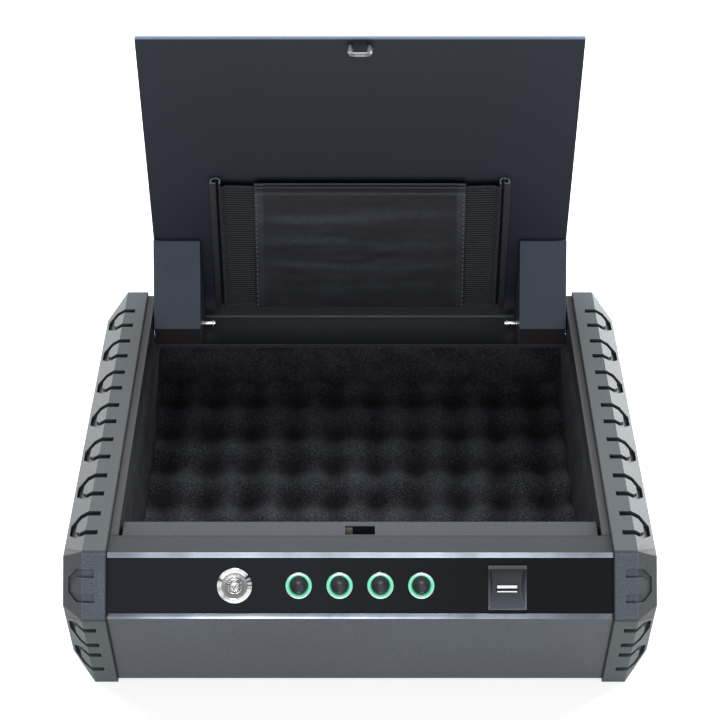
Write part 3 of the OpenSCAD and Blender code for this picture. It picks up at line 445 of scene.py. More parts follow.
class SAFE_OT_stage(bpy.types.Operator):
    """Floor, backdrop, lamps and camera"""

    bl_idname = "safe.stage"
    bl_label = "Stage"

    def execute(self, context):
        scene = context.scene
        stage = scene.safe_stage
        scene.view_settings.view_transform = "Standard"
        self.make_camera(scene, stage)
        self.make_world(scene, stage)
        self.make_floor()
        # Name, place, aim, size in metres and power in watts
        lamps = (
            ("back", (-0.1, 0.95, 1.45), (0, -0.05, 0.08), 0.7, 15),
            ("left", (-1.2, 0.85, 0.5), (-0.15, 0.05, 0.08), 0.7, 18),
            ("right", (1.2, 0.85, 0.5), (0.15, 0.05, 0.08), 0.7, 35),
            ("front", (0.0, -1.9, 0.35), (0, 0, 0.08), 1.0, 21),
        )
        for name, spot, aim, size, watts in lamps:
            light = bpy.data.lights.new(name, "AREA")
            light.size = size
            light.energy = watts
            lamp = bpy.data.objects.new(name, light)
            scene.collection.objects.link(lamp)
            lamp.location = spot
            lamp.rotation_euler = (Vector(aim) - Vector(spot)).to_track_quat("-Z", "Y").to_euler()
        return {"FINISHED"}

    def make_camera(self, scene, stage):
        data = bpy.data.cameras.new("camera")
        data.sensor_width = 36
        data.lens = stage.lens
        data.clip_start = 0.01
        camera = bpy.data.objects.new("camera", data)
        scene.collection.objects.link(camera)
        camera.location = (0, -stage.camera_back, stage.camera_up)
        camera.rotation_euler = (stage.camera_tilt, 0, 0)
        scene.camera = camera

    def make_world(self, scene, stage):
        world = bpy.data.worlds.new("sky")
        scene.world = world
        world.use_nodes = True
        tree = world.node_tree
        background = tree.nodes["Background"]
        background.inputs["Color"].default_value = WHITE
        self.shine(tree, background.inputs["Strength"], lights=stage.sky, seen=1.0)

    def shine(self, tree, socket, lights, seen):
        """Gives a strength one value for its light and one for a view or reflection of it"""
        rays = tree.nodes.new("ShaderNodeLightPath")
        total = rays.outputs["Is Camera Ray"]
        for name in ("Is Glossy Ray", "Is Transmission Ray"):
            larger = tree.nodes.new("ShaderNodeMath")
            larger.operation = "MAXIMUM"
            tree.links.new(total, larger.inputs[0])
            tree.links.new(rays.outputs[name], larger.inputs[1])
            total = larger.outputs[0]
        strength = tree.nodes.new("ShaderNodeMapRange")
        tree.links.new(total, strength.inputs["Value"])
        strength.inputs["To Min"].default_value = lights
        strength.inputs["To Max"].default_value = seen
        tree.links.new(strength.outputs[0], socket)

    def make_floor(self):
        finish = Finish("pale_floor", (0.86, 0.86, 0.86), 0.9, gleam=0.5)
        finish.set(Emission_Color=WHITE)
        socket = finish.shader.inputs["Emission Strength"]
        self.shine(finish.tree, socket, lights=0.0, seen=0.64)
        mesh = bmesh.new()
        bmesh.ops.create_grid(mesh, x_segments=1, y_segments=1, size=4)
        floor = make_object(mesh, "floor", finish.material)


class SAFE_OT_steelwork(bpy.types.Operator):
    """Powder coat and folded edges of the case, its cover and the lid"""

    bl_idname = "safe.steelwork"
    bl_label = "Steelwork"

    def execute(self, context):
        colours = context.scene.safe_colours
        edge = context.scene.safe_sizes.edge
        paint(self.case_coat(colours.case), "case_shell", "mechanism_cover")
        paint(self.lid_coat(colours.lid, colours.case), "lid_panel")
        paint(self.gusset_coat(colours.gusset), "left_gusset", "right_gusset")
        round_edges(edge, "case_shell", "mechanism_cover", "lid_panel", "left_gusset",
                    "right_gusset")
        return {"FINISHED"}

    def gusset_coat(self, base):
        """Coat of the gussets, with painted shade on the upright foot below their slope and
        painted highlights on their edges
        """
        finish, colour = powder_coat("gusset_coat", base, 0.42)
        # painted shade on faces that turn to the front
        upright = finish.spread(finish.facing()[1], 1, 0, -0.95, -0.9)
        finish.relief(finish.tint(colour, upright, (0.018, 0.014, 0.015)), light=2.2)
        return finish.material

    def lid_coat(self, base, outside):
        """Dark inside, lighter towards its sides, with painted light below the pocket and on the
        apron, painted highlights on the fold, the front edge and other edges, and painted shade
        in its gaps; the coat of the case outside
        """
        finish, colour = powder_coat("lid_coat", base, 0.42)
        finish.set(Specular_IOR_Level=0.17)
        side, _, y, z = finish.axes()
        colour = finish.scaled(colour, finish.spread(side, 0.95, 1.12, 90 * MM, 150 * MM))
        # painted light below the pocket, where the lid lies in its shadow
        painted_light_below_pocket = finish.spread(z, 1, 0, 82 * MM, 92 * MM)
        colour = finish.tint(colour, painted_light_below_pocket, (0.032, 0.034, 0.041))
        # painted light on the apron, which faces up, growing towards the fold
        apron = finish.spread(finish.facing()[2], 0, 1, 0.4, 0.8)
        colour = finish.tint(colour, apron, (0.054, 0.057, 0.068))
        painted_light_towards_fold = finish.times(apron, finish.spread(y, -0.7, 1.1, 112 * MM, 146 * MM))
        colour = finish.scaled(colour, finish.maths("ADD", painted_light_towards_fold, 1.07))
        # painted highlight along the fold
        fold = finish.times(finish.between(y, 144.8 * MM, 148.2 * MM, 0.4 * MM),
                            finish.between(z, 69.0 * MM, 71.4 * MM, 0.4 * MM))
        colour = finish.tint(colour, fold, (0.095, 0.100, 0.115))
        # painted highlight along the front edge
        front_edge_highlight = finish.spread(z, 0, 1, 298.3 * MM, 298.8 * MM)
        colour = finish.tint(colour, front_edge_highlight, (0.20, 0.27, 0.38))
        outer = finish.spread(finish.facing()[1], 0, 1, 0.3, 0.6)
        finish.relief(finish.tint(colour, outer, outside), 1.8 * MM, 0.6, light=3.6)
        return finish.material

    def case_coat(self, base):
        """The coat, warmer on the top strips, with painted shade on the front fold and the rest
        of the top, in the seam by the ledge, beside the bumpers and inside above the foam, and
        painted highlights on its edges
        """
        finish, colour = powder_coat("case_coat", base, 0.5)
        side, _, y, z = finish.axes()
        top = finish.spread(z, 0, 1, 96 * MM, 97 * MM)
        strips = finish.times(finish.spread(side, 0, 1, 128 * MM, 152 * MM), top)
        warmer = [part * share for part, share in zip(base, (0.92, 0.87, 0.80))]
        colour = finish.tint(colour, strips, warmer)
        # painted shade on the front fold of the top, on the whole raised top and in the seam by
        # the ledge
        fold = finish.times(finish.between(y, -110.2 * MM, -96.1 * MM), top)
        raised = finish.spread(z, 0, 1, 93.5 * MM, 94 * MM)
        seam = finish.times(finish.between(y, -96.8 * MM, -95.0 * MM, 0.1 * MM), raised)
        # painted shade in the gap beside the bumpers
        shade_beside_bumper = finish.spread(side, 1, 0.3, 161.4 * MM, 162.0 * MM)
        shade_beside_bumper = finish.maths("MAXIMUM", shade_beside_bumper, finish.spread(top, 0.55, 0))
        # painted shade on the inner wall below the top strip
        wall = finish.times(finish.between(side, 155.5 * MM, 161.3 * MM, 0.1 * MM),
                            finish.between(y, -94 * MM, 137 * MM),
                            finish.spread(z, 1, 0, 96.3 * MM, 96.9 * MM))
        painted_shade = finish.times(finish.spread(fold, 1, 0.58), finish.spread(seam, 1, 0.4),
                           finish.spread(raised, 1, 0.84), shade_beside_bumper,
                           finish.spread(wall, 1, 0.4))
        finish.relief(finish.scaled(colour, painted_shade))
        return finish.material


class SAFE_OT_bumpers(bpy.types.Operator):
    """Moulded side bumpers"""

    bl_idname = "safe.bumpers"
    bl_label = "Bumpers"

    def execute(self, context):
        colours = context.scene.safe_colours
        paint(self.bumper_plastic(colours.bumper), "left_bumper", "right_bumper")
        round_edges(context.scene.safe_sizes.moulded_edge, "left_bumper", "right_bumper")
        return {"FINISHED"}

    def bumper_plastic(self, base):
        """Moulded plastic, bluer on the pad of the knuckle from a painted reflection, with
        painted shade on its outer facet, along its folds, on its front faces and beside the case
        """
        finish = Finish("bumper_plastic", base, 0.5)
        colour = finish.tones(finish.eroded(0.5), 0.74, 1.34, 0.35, 0.70)
        side, _, y, z = finish.axes()
        # The knuckle lies on the slope: up runs along it, and out is square to it
        up, out = finish.maths("ADD", y, z), finish.maths("SUBTRACT", z, y)
        on_slope = finish.spread(out, 0, 1, 185 * MM, 187 * MM)
        knuckle = finish.times(finish.between(up, -73.2 * MM, -10.8 * MM), on_slope)
        pad = finish.times(knuckle, finish.between(side, 162 * MM, 178 * MM))
        facet = finish.times(knuckle, finish.between(side, 178.2 * MM, 193 * MM))
        sparks = finish.spread(finish.noise(1700, 2, 0.7), 0.60, 1.45, 0.36, 0.64)
        # painted reflection: the pad of the knuckle tinted blue, over its fine specks
        blue = finish.scaled(finish.tint(colour, pad, (0.086, 0.102, 0.128)), sparks)
        # painted shadows along the folds above and below the knuckle
        upper = finish.between(up, -11.5 * MM, -9.9 * MM, 0.3 * MM)
        lower = finish.between(up, -74.6 * MM, -72.4 * MM, 0.5 * MM)
        fold_shadows = finish.times(finish.maths("MAXIMUM", upper, lower), on_slope)
        # painted shade on faces turned to the front and in the gap beside the case
        front = finish.spread(finish.facing()[1], 0.78, 1, -0.95, -0.85)
        shade_beside_case = finish.spread(side, 0.25, 1, 162.9 * MM, 163.5 * MM)
        painted_shade = finish.times(finish.spread(fold_shadows, 1, 0.45), finish.spread(facet, 1, 0.62), front,
                           shade_beside_case)
        colour = finish.scaled(finish.mix(pad, colour, blue), painted_shade)
        # less painted shade in the grooves on the outer facet
        faint = finish.spread(side, 0, 0.75, 179 * MM, 185 * MM)
        finish.relief(colour, 3 * MM, 0.22, 0.7 * MM, 1.6, faint)
        return finish.material


class SAFE_OT_controls(bpy.types.Operator):
    """Glossy panel, trim strips and fingerprint reader"""

    bl_idname = "safe.controls"
    bl_label = "Control face"

    def execute(self, context):
        colours = context.scene.safe_colours
        paint(self.panel_gloss(colours.panel), "control_panel")
        paint(self.trim_metal(colours.trim), "upper_trim", "lower_trim")
        round_edges(0.3 * MM, "upper_trim", "lower_trim")
        paint(self.reader_plastic(colours.reader), "fingerprint_frame")
        round_edges(0.4 * MM, "fingerprint_frame", segments=3)
        paint(gloss_plastic("sensor_glass", (0.01, 0.01, 0.012), 0.08), "fingerprint_sensor")
        bars = bmesh.new()
        # Middle of each bar up the face, and its height, in millimetres
        for v, tall in ((-0.9, 1.9), (-3.95, 0.85)):
            merge(bars, slab((12.9 * MM, tall * MM, 0.5 * MM), (READER_X, v * MM, -1.15 * MM),
                             0.2 * MM, 2, FACE))
        metal = drawn_metal("contact_bars", (0.85, 0.86, 0.88), 0.16, (1, 40, 40))
        finish_piece(bars, "reader_contacts", metal, "case")
        return {"FINISHED"}

    def panel_gloss(self, base):
        """Deep gloss with painted shade that goes darker towards the reader"""
        finish = Finish("panel_gloss", base, 0.1, gleam=0.12)
        haze = finish.noise(60, 3)
        finish.rough(haze, 0.08, 0.15)
        x = finish.axes()[1]
        cloud = finish.noise(9, 3, 0.6, finish.stretched((3, 1, 1)))
        # painted shade: lighter on the left, darker towards the reader
        shade = finish.maths("ADD", finish.spread(x, 0.9, 0.0, -40 * MM, 110 * MM),
                             finish.times(cloud, 0.2))
        finish.tones(shade, 0.6, 2.6, 0, 1)
        finish.bump(finish.noise(25), 0.05 * MM, 0.15)
        return finish.material

    def trim_metal(self, base):
        """Satin strips, with painted shade at their ends and on the lower one"""
        finish = Finish("trim_metal", base, 0.3, 1.0)
        side, _, _, z = finish.axes()
        cloud = finish.noise(7, 3, 0.5, finish.stretched((5, 0.2, 0.2)))
        # painted shade at the ends and on the lower strip
        painted_shade = finish.times(finish.spread(side, 1.0, 0.6, 90 * MM, 150 * MM),
                           finish.spread(z, 0.68, 1.08, 75 * MM, 90 * MM))
        lines = finish.noise(60, place=finish.stretched((1, 60, 60)))
        finish.bump(lines, 0.015 * MM, 0.3)
        finish.rough(lines, 0.24, 0.38)
        colour = finish.tones(cloud, 0.72, 1.12, 0.35, 0.65)
        finish.relief(finish.scaled(colour, painted_shade), 1.2 * MM, 0.5, 0.4 * MM, 1.3)
        return finish.material

    def reader_plastic(self, base):
        """Painted shade at the top of the scoop, painted light at its foot, and painted
        highlights along its top rim and on its edges
        """
        finish = Finish("reader_plastic", base, 0.3, gleam=0.06)
        _, _, y, z = finish.axes()
        up = finish.maths("ADD", y, z)
        specks = finish.noise(1300, 3, 0.7)
        colour = finish.tones(specks, 0.85, 1.2, 0.35, 0.70)
        # painted shade up the scoop and painted light at its foot
        rise = finish.spread(up, 1.8, 0.35, -62 * MM, -30 * MM)
        # painted highlight along the top rim
        rim = finish.spread(up, 0.0, 1.0, -27.2 * MM, -26.4 * MM)
        colour = finish.scaled(colour, finish.maths("ADD", rise, rim))
        finish.relief(colour, 1.5 * MM, 0.45, 0.5 * MM, 4.5)
        finish.rough(specks, 0.24, 0.40)
        finish.bump(specks, 0.03 * MM, 0.6)
        return finish.material


class SAFE_OT_lock(bpy.types.Operator):
    """Key lock: bright ring, brushed face and keyed core"""

    bl_idname = "safe.lock"
    bl_label = "Key lock"

    PINS = 7
    PIN_CIRCLE = 3.8 * MM

    def execute(self, context):
        place = on_face(LOCK_X)
        ring = [
            (5.3, -18.8), (9.5, -18.8), (9.5, 0), (11.4, 0), (11.5, 0.15), (11.48, 0.5),
            (11.3, 0.95), (10.95, 1.35), (10.4, 1.6), (9.8, 1.68), (9.2, 1.62), (8.75, 1.4),
            (8.4, 1.05), (8.2, 0.82), (7.9, 0.8), (5.5, 0.8), (5.3, 0.65), (5.3, -18.8),
        ]
        mesh = turned(ring, 144, place)
        merge(mesh, slab((1.8 * MM, 1.5 * MM, 1.1 * MM), (0, 6.05 * MM, 0.8 * MM), 0.3 * MM, 3,
                         place))
        tag(mesh, "shade", self.shade)
        finish_piece(mesh, "lock_ring", self.ring_metal(), "case",
                     ["lock_housing"])
        core = [(0, -24), (5.25, -24), (5.25, 1.1), (5.1, 1.32), (4.8, 1.4), (4.6, 1.36),
                (4.5, 1.0), (3.1, 1.0), (3.0, 1.36), (2.7, 1.42), (1.2, 1.44), (0.9, 1.2),
                (0, 1.15)]
        mesh = turned(core, 72, place)
        finish_piece(mesh, "key_core", self.core_metal(), "key", ["key_cylinder"])
        pin = [(0, 0.8), (0.5, 0.9), (0.8, 1.32), (0.95, 1.46), (1.0, 1.42), (1.0, 0.2)]
        pins = bmesh.new()
        for turn in range(self.PINS):
            angle = math.radians(90) + (turn + 1) * 2 * math.pi / (self.PINS + 1)
            spot = Vector((math.cos(angle), math.sin(angle), 0)) * self.PIN_CIRCLE
            merge(pins, turned(pin, 16, place @ Matrix.Translation(spot)))
        dark = drawn_metal("pin_holes", (0.05, 0.048, 0.045), 0.3, (30, 30, 1))
        finish_piece(pins, "key_pins", dark, "key")
        return {"FINISHED"}

    def shade(self, point):
        """Brightness of the metal: the ring carries painted reflections of dark patches, the face
        is dull
        """
        spot = FACE.inverted() @ point
        x, y = spot.x - LOCK_X, spot.y
        radius = math.hypot(x, y) / MM
        if spot.z > 1.0 * MM and radius < 7.5:
            return 0.95
        if radius < 8.3:
            return 0.27
        turn = math.degrees(math.atan2(y, x))
        # Middle and width of each painted dark reflection in degrees, and how dark it is
        patches = ((34, 9, 1.0), (17, 5, 0.95), (2, 4, 0.9), (-9, 3, 0.7), (157, 8, 0.9),
                   (-168, 9, 0.4), (-133, 10, 0.5), (-118, 4, 0.3))
        dark = sum(depth * bell(turn, centre, width) for centre, width, depth in patches)
        return 1.0 - min(dark, 0.96)

    def core_metal(self):
        """Worn nickel with pits, painted shade in its gaps and painted highlights on its edges"""
        finish = Finish("core_metal", (0.46, 0.46, 0.45), 0.22, 1.0)
        pits = finish.noise(900, 3, 0.7)
        finish.relief(finish.tones(pits, 0.45, 1.45, 0.38, 0.62), 1 * MM, 0.2, 0.3 * MM, 1.5)
        finish.bump(pits, 0.12 * MM, 0.8)
        return finish.material

    def ring_metal(self):
        """Bright metal with painted dark reflections: rougher and darker where its shade is low
        """
        finish = Finish("lock_metal", (0.78, 0.79, 0.80), 0.14, 1.0)
        shade = finish.tag("shade")
        haze = finish.times(finish.noise(300), 0.12)
        finish.tones(finish.maths("SUBTRACT", shade, haze), 0.02, 1.1, 0.0, 1.0)
        finish.rough(shade, 0.42, 0.1)
        lines = finish.noise(60, 3, 0.6, finish.stretched((60, 1, 1)))
        finish.bump(lines, 0.02 * MM, 0.4)
        return finish.material


class SAFE_OT_buttons(bpy.types.Operator):
    """Lit rings and dished button caps"""

    bl_idname = "safe.buttons"
    bl_label = "Buttons"

    # Ball that the dish of a cap is cut by: its radius, and its middle above the face, in mm
    DISH_BALL = 6.7
    DISH_CENTRE = 4.9

    def execute(self, context):
        colours = context.scene.safe_colours
        ring = [(5.95, -5), (8.45, -5), (8.45, 0.2), (8.32, 0.55), (7.95, 0.78), (7.6, 0.74),
                (7.1, 0.5), (6.5, 0.1), (6.1, -0.3), (5.95, -0.6), (5.95, -5)]
        rings = bmesh.new()
        for x in BUTTON_X:
            merge(rings, turned(ring, 72, on_face(x)))
        tag(rings, "lit", self.lit)
        finish_piece(rings, "lit_rings", self.glow(colours.glow), "case",
                     ["button_rings"])
        cap = [(0, -8.1), (2, -8.1), (2, -6.1), (7.25, -6.1), (7.25, -4.95), (5.65, -4.9),
               (5.65, 0.1), (5.55, 0.38), (5.3, 0.5), (5.05, 0.45)]
        ball = self.DISH_BALL
        for r in (4.9, 4.3, 3.6, 2.8, 1.9, 1, 0):
            cap.append((r, self.DISH_CENTRE - math.sqrt(ball ** 2 - r * r)))
        gloss = self.dished()
        for number, x in enumerate(BUTTON_X, 1):
            mesh = turned(cap, 64, on_face(x))
            tag(mesh, "dish", self.dish)
            finish_piece(mesh, f"button_dish_{number}", gloss, f"button_{number}",
                         [f"button_cap_{number}"])
        return {"FINISHED"}

    def about_button(self, point):
        """Place of a point about its button's middle, and its radius, in millimetres"""
        spot = FACE.inverted() @ point / MM
        x = min((spot.x - middle / MM for middle in BUTTON_X), key=abs)
        return x, spot.y, math.hypot(x, spot.y)

    def lit(self, point):
        """Light in a ring: strongest on its inner slope, to the left and right"""
        x, y, radius = self.about_button(point)
        low = 0.3 if y < 0 else 0.0
        inner = (1 - ease(radius, 6.5, 8.0)) * (0.15 + low + 0.55 * abs(x) / radius)
        outer = 0.9 * bell(radius, 8.1, 0.6) * bell(y, 1.8, 3.2)
        return min(inner + outer, 1.0)

    def dish(self, point):
        """Painted highlight low on the right of a dish, none at its rim"""
        x, y, radius = self.about_button(point)
        away = math.hypot(x - 0.9, y + 2.0)
        return (1 - ease(away, 0.5, 4.0)) * (1 - ease(radius, 4.2, 5.0))

    def dished(self):
        """Near-black gloss of the caps, with a painted highlight low in the dish"""
        finish = Finish("cap_gloss", (0.012, 0.014, 0.019), 0.32, gleam=0.35)
        haze = finish.noise(240, 3)
        finish.rough(haze, 0.26, 0.42)
        # painted highlight where the dish faces the light
        pale = finish.spread(finish.tag("dish"), 0.6, 4.5)
        finish.scaled(finish.tones(haze, 0.85, 1.2), pale)
        return finish.material

    def glow(self, base):
        """Milky ring with the light of the lamp behind it"""
        finish = Finish("ring_glow", (0.60, 0.66, 0.65), 0.2, 0.5)
        power = finish.times(finish.tag("lit"), finish.maths("ADD", finish.noise(420, 3), 0.7))
        milky, light = (0.52, 0.70, 0.64, 1), (*base, 1)
        finish.drive("Base Color", finish.mix(finish.spread(power, 0, 1), milky, light))
        finish.set(Emission_Color=light)
        finish.drive("Emission Strength", finish.spread(power, 0.02, 0.42))
        return finish.material


class SAFE_OT_latch_and_hinge(bpy.types.Operator):
    """Striker, latch, hinge pins and fasteners"""

    bl_idname = "safe.latch_and_hinge"
    bl_label = "Latch and hinge"

    def execute(self, context):
        zinc = drawn_metal("zinc_plate", (0.45, 0.46, 0.48), 0.36, (1, 20, 20))
        paint(zinc, "bumper_screws", "lock_nut", "key_cam", "board_posts", "latch_bracket",
              "latch_slider", "drive_cam", "left_hinge_bracket", "right_hinge_bracket",
              "pin_clips")
        paint(drawn_metal("striker_steel", (0.17, 0.175, 0.18), 0.42, (30, 1, 1)), "striker")
        paint(drawn_metal("pin_steel", (0.78, 0.79, 0.80), 0.10, (1, 20, 20)), "hinge_pins")
        paint(drawn_metal("brass", (0.62, 0.45, 0.17), 0.28, (20, 20, 1)), "hinge_bushes")
        # painted light: near-white so that the catch reads bright in the shade of the slot
        catch = Finish("catch_brass", (1.0, 0.93, 0.74), 0.45)
        haze = catch.noise(300)
        catch.tones(haze, 0.85, 1.0)
        catch.rough(haze, 0.35, 0.55)
        paint(catch.material, "latch_catch")
        paint(drawn_metal("motor_can", (0.33, 0.34, 0.36), 0.34, (20, 20, 1)), "latch_motor")
        return {"FINISHED"}


class SAFE_OT_electronics(bpy.types.Operator):
    """Board, switches and cells behind the panel"""

    bl_idname = "safe.electronics"
    bl_label = "Electronics"

    def execute(self, context):
        paint(gloss_plastic("board_mask", (0.02, 0.12, 0.05), 0.3), "control_board")
        paint(moulded_plastic("switch_plastic", (0.02, 0.02, 0.022), 0.4), "button_switches",
              "battery_holder")
        paint(gloss_plastic("cell_sleeve", (0.42, 0.26, 0.05), 0.25), "battery_cells")
        return {"FINISHED"}


class SAFE_OT_foam_bed(bpy.types.Operator):
    """Egg-crate foam on the floor of the cavity"""

    bl_idname = "safe.foam_bed"
    bl_label = "Foam bed"

    BUMPS_ACROSS = 10
    BUMPS_DEEP = 6

    def execute(self, context):
        sizes = context.scene.safe_sizes
        low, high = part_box("floor_foam")
        across, deep = high[0] - low[0], high[1] - low[1]
        mesh = bmesh.new()
        bmesh.ops.create_grid(mesh, x_segments=170, y_segments=108, size=0.5)
        bmesh.ops.scale(mesh, vec=(across, deep, 1), verts=mesh.verts)
        bmesh.ops.translate(
            mesh, vec=((low[0] + high[0]) / 2, (low[1] + high[1]) / 2, 0), verts=mesh.verts
        )
        rim = [edge for edge in mesh.edges if edge.is_boundary]
        for vert in mesh.verts:
            u = (vert.co.x - low[0]) / across * self.BUMPS_ACROSS
            v = (vert.co.y - low[1]) / deep * self.BUMPS_DEEP
            wave = math.cos(2 * math.pi * (u + 0.125)) + math.cos(2 * math.pi * (v + 0.125))
            lumps = noise.noise(vert.co * 60) * 0.5 * MM + noise.noise(vert.co * 170) * 0.25 * MM
            vert.co.z = sizes.foam_middle - 0.6 * MM + sizes.foam_wave * 0.46 * wave + lumps
        walls = bmesh.ops.extrude_edge_only(mesh, edges=rim)
        for edge in rim:
            edge.smooth = False
        for vert in walls["geom"]:
            if isinstance(vert, bmesh.types.BMVert):
                vert.co.z = low[2]
        bmesh.ops.holes_fill(mesh, edges=[e for e in mesh.edges if e.is_boundary])
        bmesh.ops.recalc_face_normals(mesh, faces=mesh.faces)
        for face in mesh.faces:
            face.smooth = face.normal.z > 0.2
        # heights at which the painted shade of the pits turns into painted light on the tops
        top, pit = (sizes.foam_middle + k * sizes.foam_wave for k in (0.75, -0.95))
        foam = soft_foam("egg_crate_foam", context.scene.safe_colours.foam, 900, 0.1, (pit, top))
        piece = finish_piece(mesh, "foam_bed", foam, "case", ["floor_foam"])
        return {"FINISHED"}


class SAFE_OT_liners(bpy.types.Operator):
    """Foam sheets on the walls of the cavity"""

    bl_idname = "safe.liners"
    bl_label = "Liners"

    EDGE = 0.7 * MM
    # The side liners are cut down to this height behind this y, for the hinge
    NOTCH_Z = 59 * MM
    NOTCH_Y = 117 * MM

    def execute(self, context):
        colours = context.scene.safe_colours
        # painted shade: the side walls take the darker copy of the liner foam
        felt = soft_foam("liner_foam", colours.liner, 1400, 0.05)
        end_felt = soft_foam("end_liner_foam", colours.end_liner, 1400)
        for name in ("front_liner", "rear_liner"):
            low, high = (Vector(corner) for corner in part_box(name))
            self.line(slab(high - low, (low + high) / 2, self.EDGE, 3), name, end_felt)
        for name in ("left_liner", "right_liner"):
            low, high = (Vector(corner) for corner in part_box(name))
            mesh = bmesh.new()
            outline = [(low.y, low.z), (high.y, low.z), (high.y, self.NOTCH_Z),
                       (self.NOTCH_Y, self.NOTCH_Z), (self.NOTCH_Y, high.z), (low.y, high.z)]
            face = mesh.faces.new([mesh.verts.new((low.x, y, z)) for y, z in outline])
            wall = bmesh.ops.extrude_face_region(mesh, geom=[face])
            moved = [v for v in wall["geom"] if isinstance(v, bmesh.types.BMVert)]
            bmesh.ops.translate(mesh, vec=(high.x - low.x, 0, 0), verts=moved)
            bmesh.ops.recalc_face_normals(mesh, faces=mesh.faces)
            soften(mesh, self.EDGE, 3)
            self.line(mesh, name, felt)
        return {"FINISHED"}

    def line(self, mesh, name, foam):
        """Puts a foam sheet in the place of its node"""
        smooth(mesh)
        piece = finish_piece(mesh, name + "_foam", foam, "case", [name])


class SAFE_OT_pocket(bpy.types.Operator):
    """Rails, ribbed elastic and the cloth pocket of the lid"""

    bl_idname = "safe.pocket"
    bl_label = "Pocket"

    # Foot of the pocket up the lid from its apron, and its height, all in millimetres
    FOOT = 14.8
    TALL = 107.3
    CLOTH = 7.3  # distance of the cloth from the lid
    STEP = 2.2  # how much lower the front panel ends
    SEAM = 5.2  # its seam below its top
    BILLOW = 2.2  # how far it stands out
    SHORT = 1.6  # how much each end of a web stops short
    HEM_STITCHES = 58  # on each half of the hem
    # Creases with painted highlights: how far below the top, how wide, and how strong on the left
    # and on the right
    CREASES = ((25, 4.5, 0.75, 0.35), (47, 5, 0.7, 0.2), (67, 4, 0.5, 0.45), (88, 6, 0.2, 0.3))

    def execute(self, context):
        colours = context.scene.safe_colours
        sizes = context.scene.safe_sizes
        paint(self.rail_metal(colours.rail), "left_rail", "right_rail")
        round_edges(0.4 * MM, "left_rail", "right_rail", segments=3)
        webbing = self.webbing(colours.elastic)
        for side, name in ((-1, "left_elastic"), (1, "right_elastic")):
            mesh = self.elastic_band(side, sizes.rib_pitch / MM)
            finish_piece(mesh, name + "_web", webbing, "lid", [name])
        satin = self.satin(colours.pouch)
        panels = (("back", 0, 0.9, 0.5), ("front", self.STEP, 0, self.BILLOW))
        for name, lower, lift, billow in panels:
            piece = finish_piece(self.panel(lower, lift, billow), f"pocket_{name}", satin, "lid",
                                 [f"pouch_{name}"])
            thick = piece.modifiers.new("Cloth", "SOLIDIFY")
            thick.thickness = 0.5 * MM
            thick.offset = 0
        thread = moulded_plastic("thread", (0.10, 0.10, 0.115), 0.6)
        finish_piece(self.stitches(sizes.stitch / MM), "pocket_stitches", thread, "lid")
        return {"FINISHED"}

    def pouch_edge(self, s):
        """Half the width of the cloth at the height s"""
        return 77.6 + 2.6 * (self.FOOT + self.TALL - s) / self.TALL

    def rail_edge(self, s):
        """Distance of a rail's inner lip from the middle at the height s"""
        return 102 + 1.3 * (123.4 - s) / 110

    def cloth_height(self, u, s, lower, lift, billow):
        """Distance of a panel from the lid, at u across it and s up it"""
        top = self.FOOT + self.TALL - lower
        v = (s - self.FOOT) / (top - self.FOOT)
        edge = (1 - u * u) * math.sin(math.pi * min(v * 1.2, 1.0) * 0.83)
        x = u * 79
        puff = billow * edge * (0.45 + 0.5 * noise.noise(Vector((x * 0.014, s * 0.045, 1.7))))
        crease = 0.35 * edge * noise.noise(Vector((x * 0.05, s * 0.16, 4.1)))
        seam = -0.3 * bell(s, top - self.SEAM, 0.7) + 0.25 * bell(s, top - 0.6, 1) if lower else 0
        band = 0.3 * ease(abs(u), 0.90, 0.93)
        return self.CLOTH - lift + puff + crease + seam + band

    def cloth_shading(self, u, s, top):
        """Painted light and shade on the cloth: paler side hems, painted highlights on the
        creases, the top edge and the seam, and painted shade just below the top edge
        """
        mark = 0.75 * ease(abs(u), 0.90, 0.935) * (0.35 + 0.65 * ease(s, 50, 115))
        for drop, wide, left, right in self.CREASES:
            near = bell(s, top - drop + 2.5 * math.sin(3 * u + drop), wide)
            mark += near * (left + (right - left) * (u + 1) / 2) * (1 - u ** 6)
        mark += 1.9 * ease(s, top - 1.0, top - 0.4) - 0.6 * bell(s, top - 2.4, 1.1)
        return mark + 0.5 * bell(s, top - 6.4, 0.6)

    def panel(self, lower, lift, billow):
        """One panel of the pocket: its top stands lower, and it lies lift nearer the lid"""
        mesh = bmesh.new()
        bmesh.ops.create_grid(mesh, x_segments=110, y_segments=130, size=0.5)
        tall = self.TALL - lower
        painted_shading = mesh.verts.layers.float.new("painted_shading")
        for vert in mesh.verts:
            u, s = vert.co.x * 2, self.FOOT + (vert.co.y + 0.5) * tall
            x = u * self.pouch_edge(s)
            vert.co = Vector((x, s, self.cloth_height(u, s, lower, lift, billow))) * MM
            vert[painted_shading] = self.cloth_shading(u, s, self.FOOT + tall)
        mesh.transform(LID)
        bmesh.ops.recalc_face_normals(mesh, faces=mesh.faces)
        smooth(mesh)
        return mesh

    def stitches(self, pitch):
        """Threads down both sides of the front panel and along its hem"""
        mesh = bmesh.new()
        top = self.FOOT + self.TALL - self.STEP
        spots = []
        for side in (-1, 1):
            for k in range(int((top - self.FOOT - 3) / pitch)):
                s = self.FOOT + 2 + k * pitch
                spots.append((side * (1 - 1.4 / self.pouch_edge(s)), s, True))
        for k in range(-self.HEM_STITCHES, self.HEM_STITCHES + 1):
            spots.append((k / self.HEM_STITCHES * 0.975, top - self.SEAM, False))
        for u, s, upright in spots:
            size = (0.8, 1.7, 0.45) if upright else (1.5, 0.35, 0.3)
            height = self.cloth_height(u, s, self.STEP, 0, self.BILLOW) + 0.25
            merge(mesh, slab([k * MM for k in size],
                             Vector((u * self.pouch_edge(s), s, height)) * MM, 0.12 * MM, 1, LID))
        return mesh

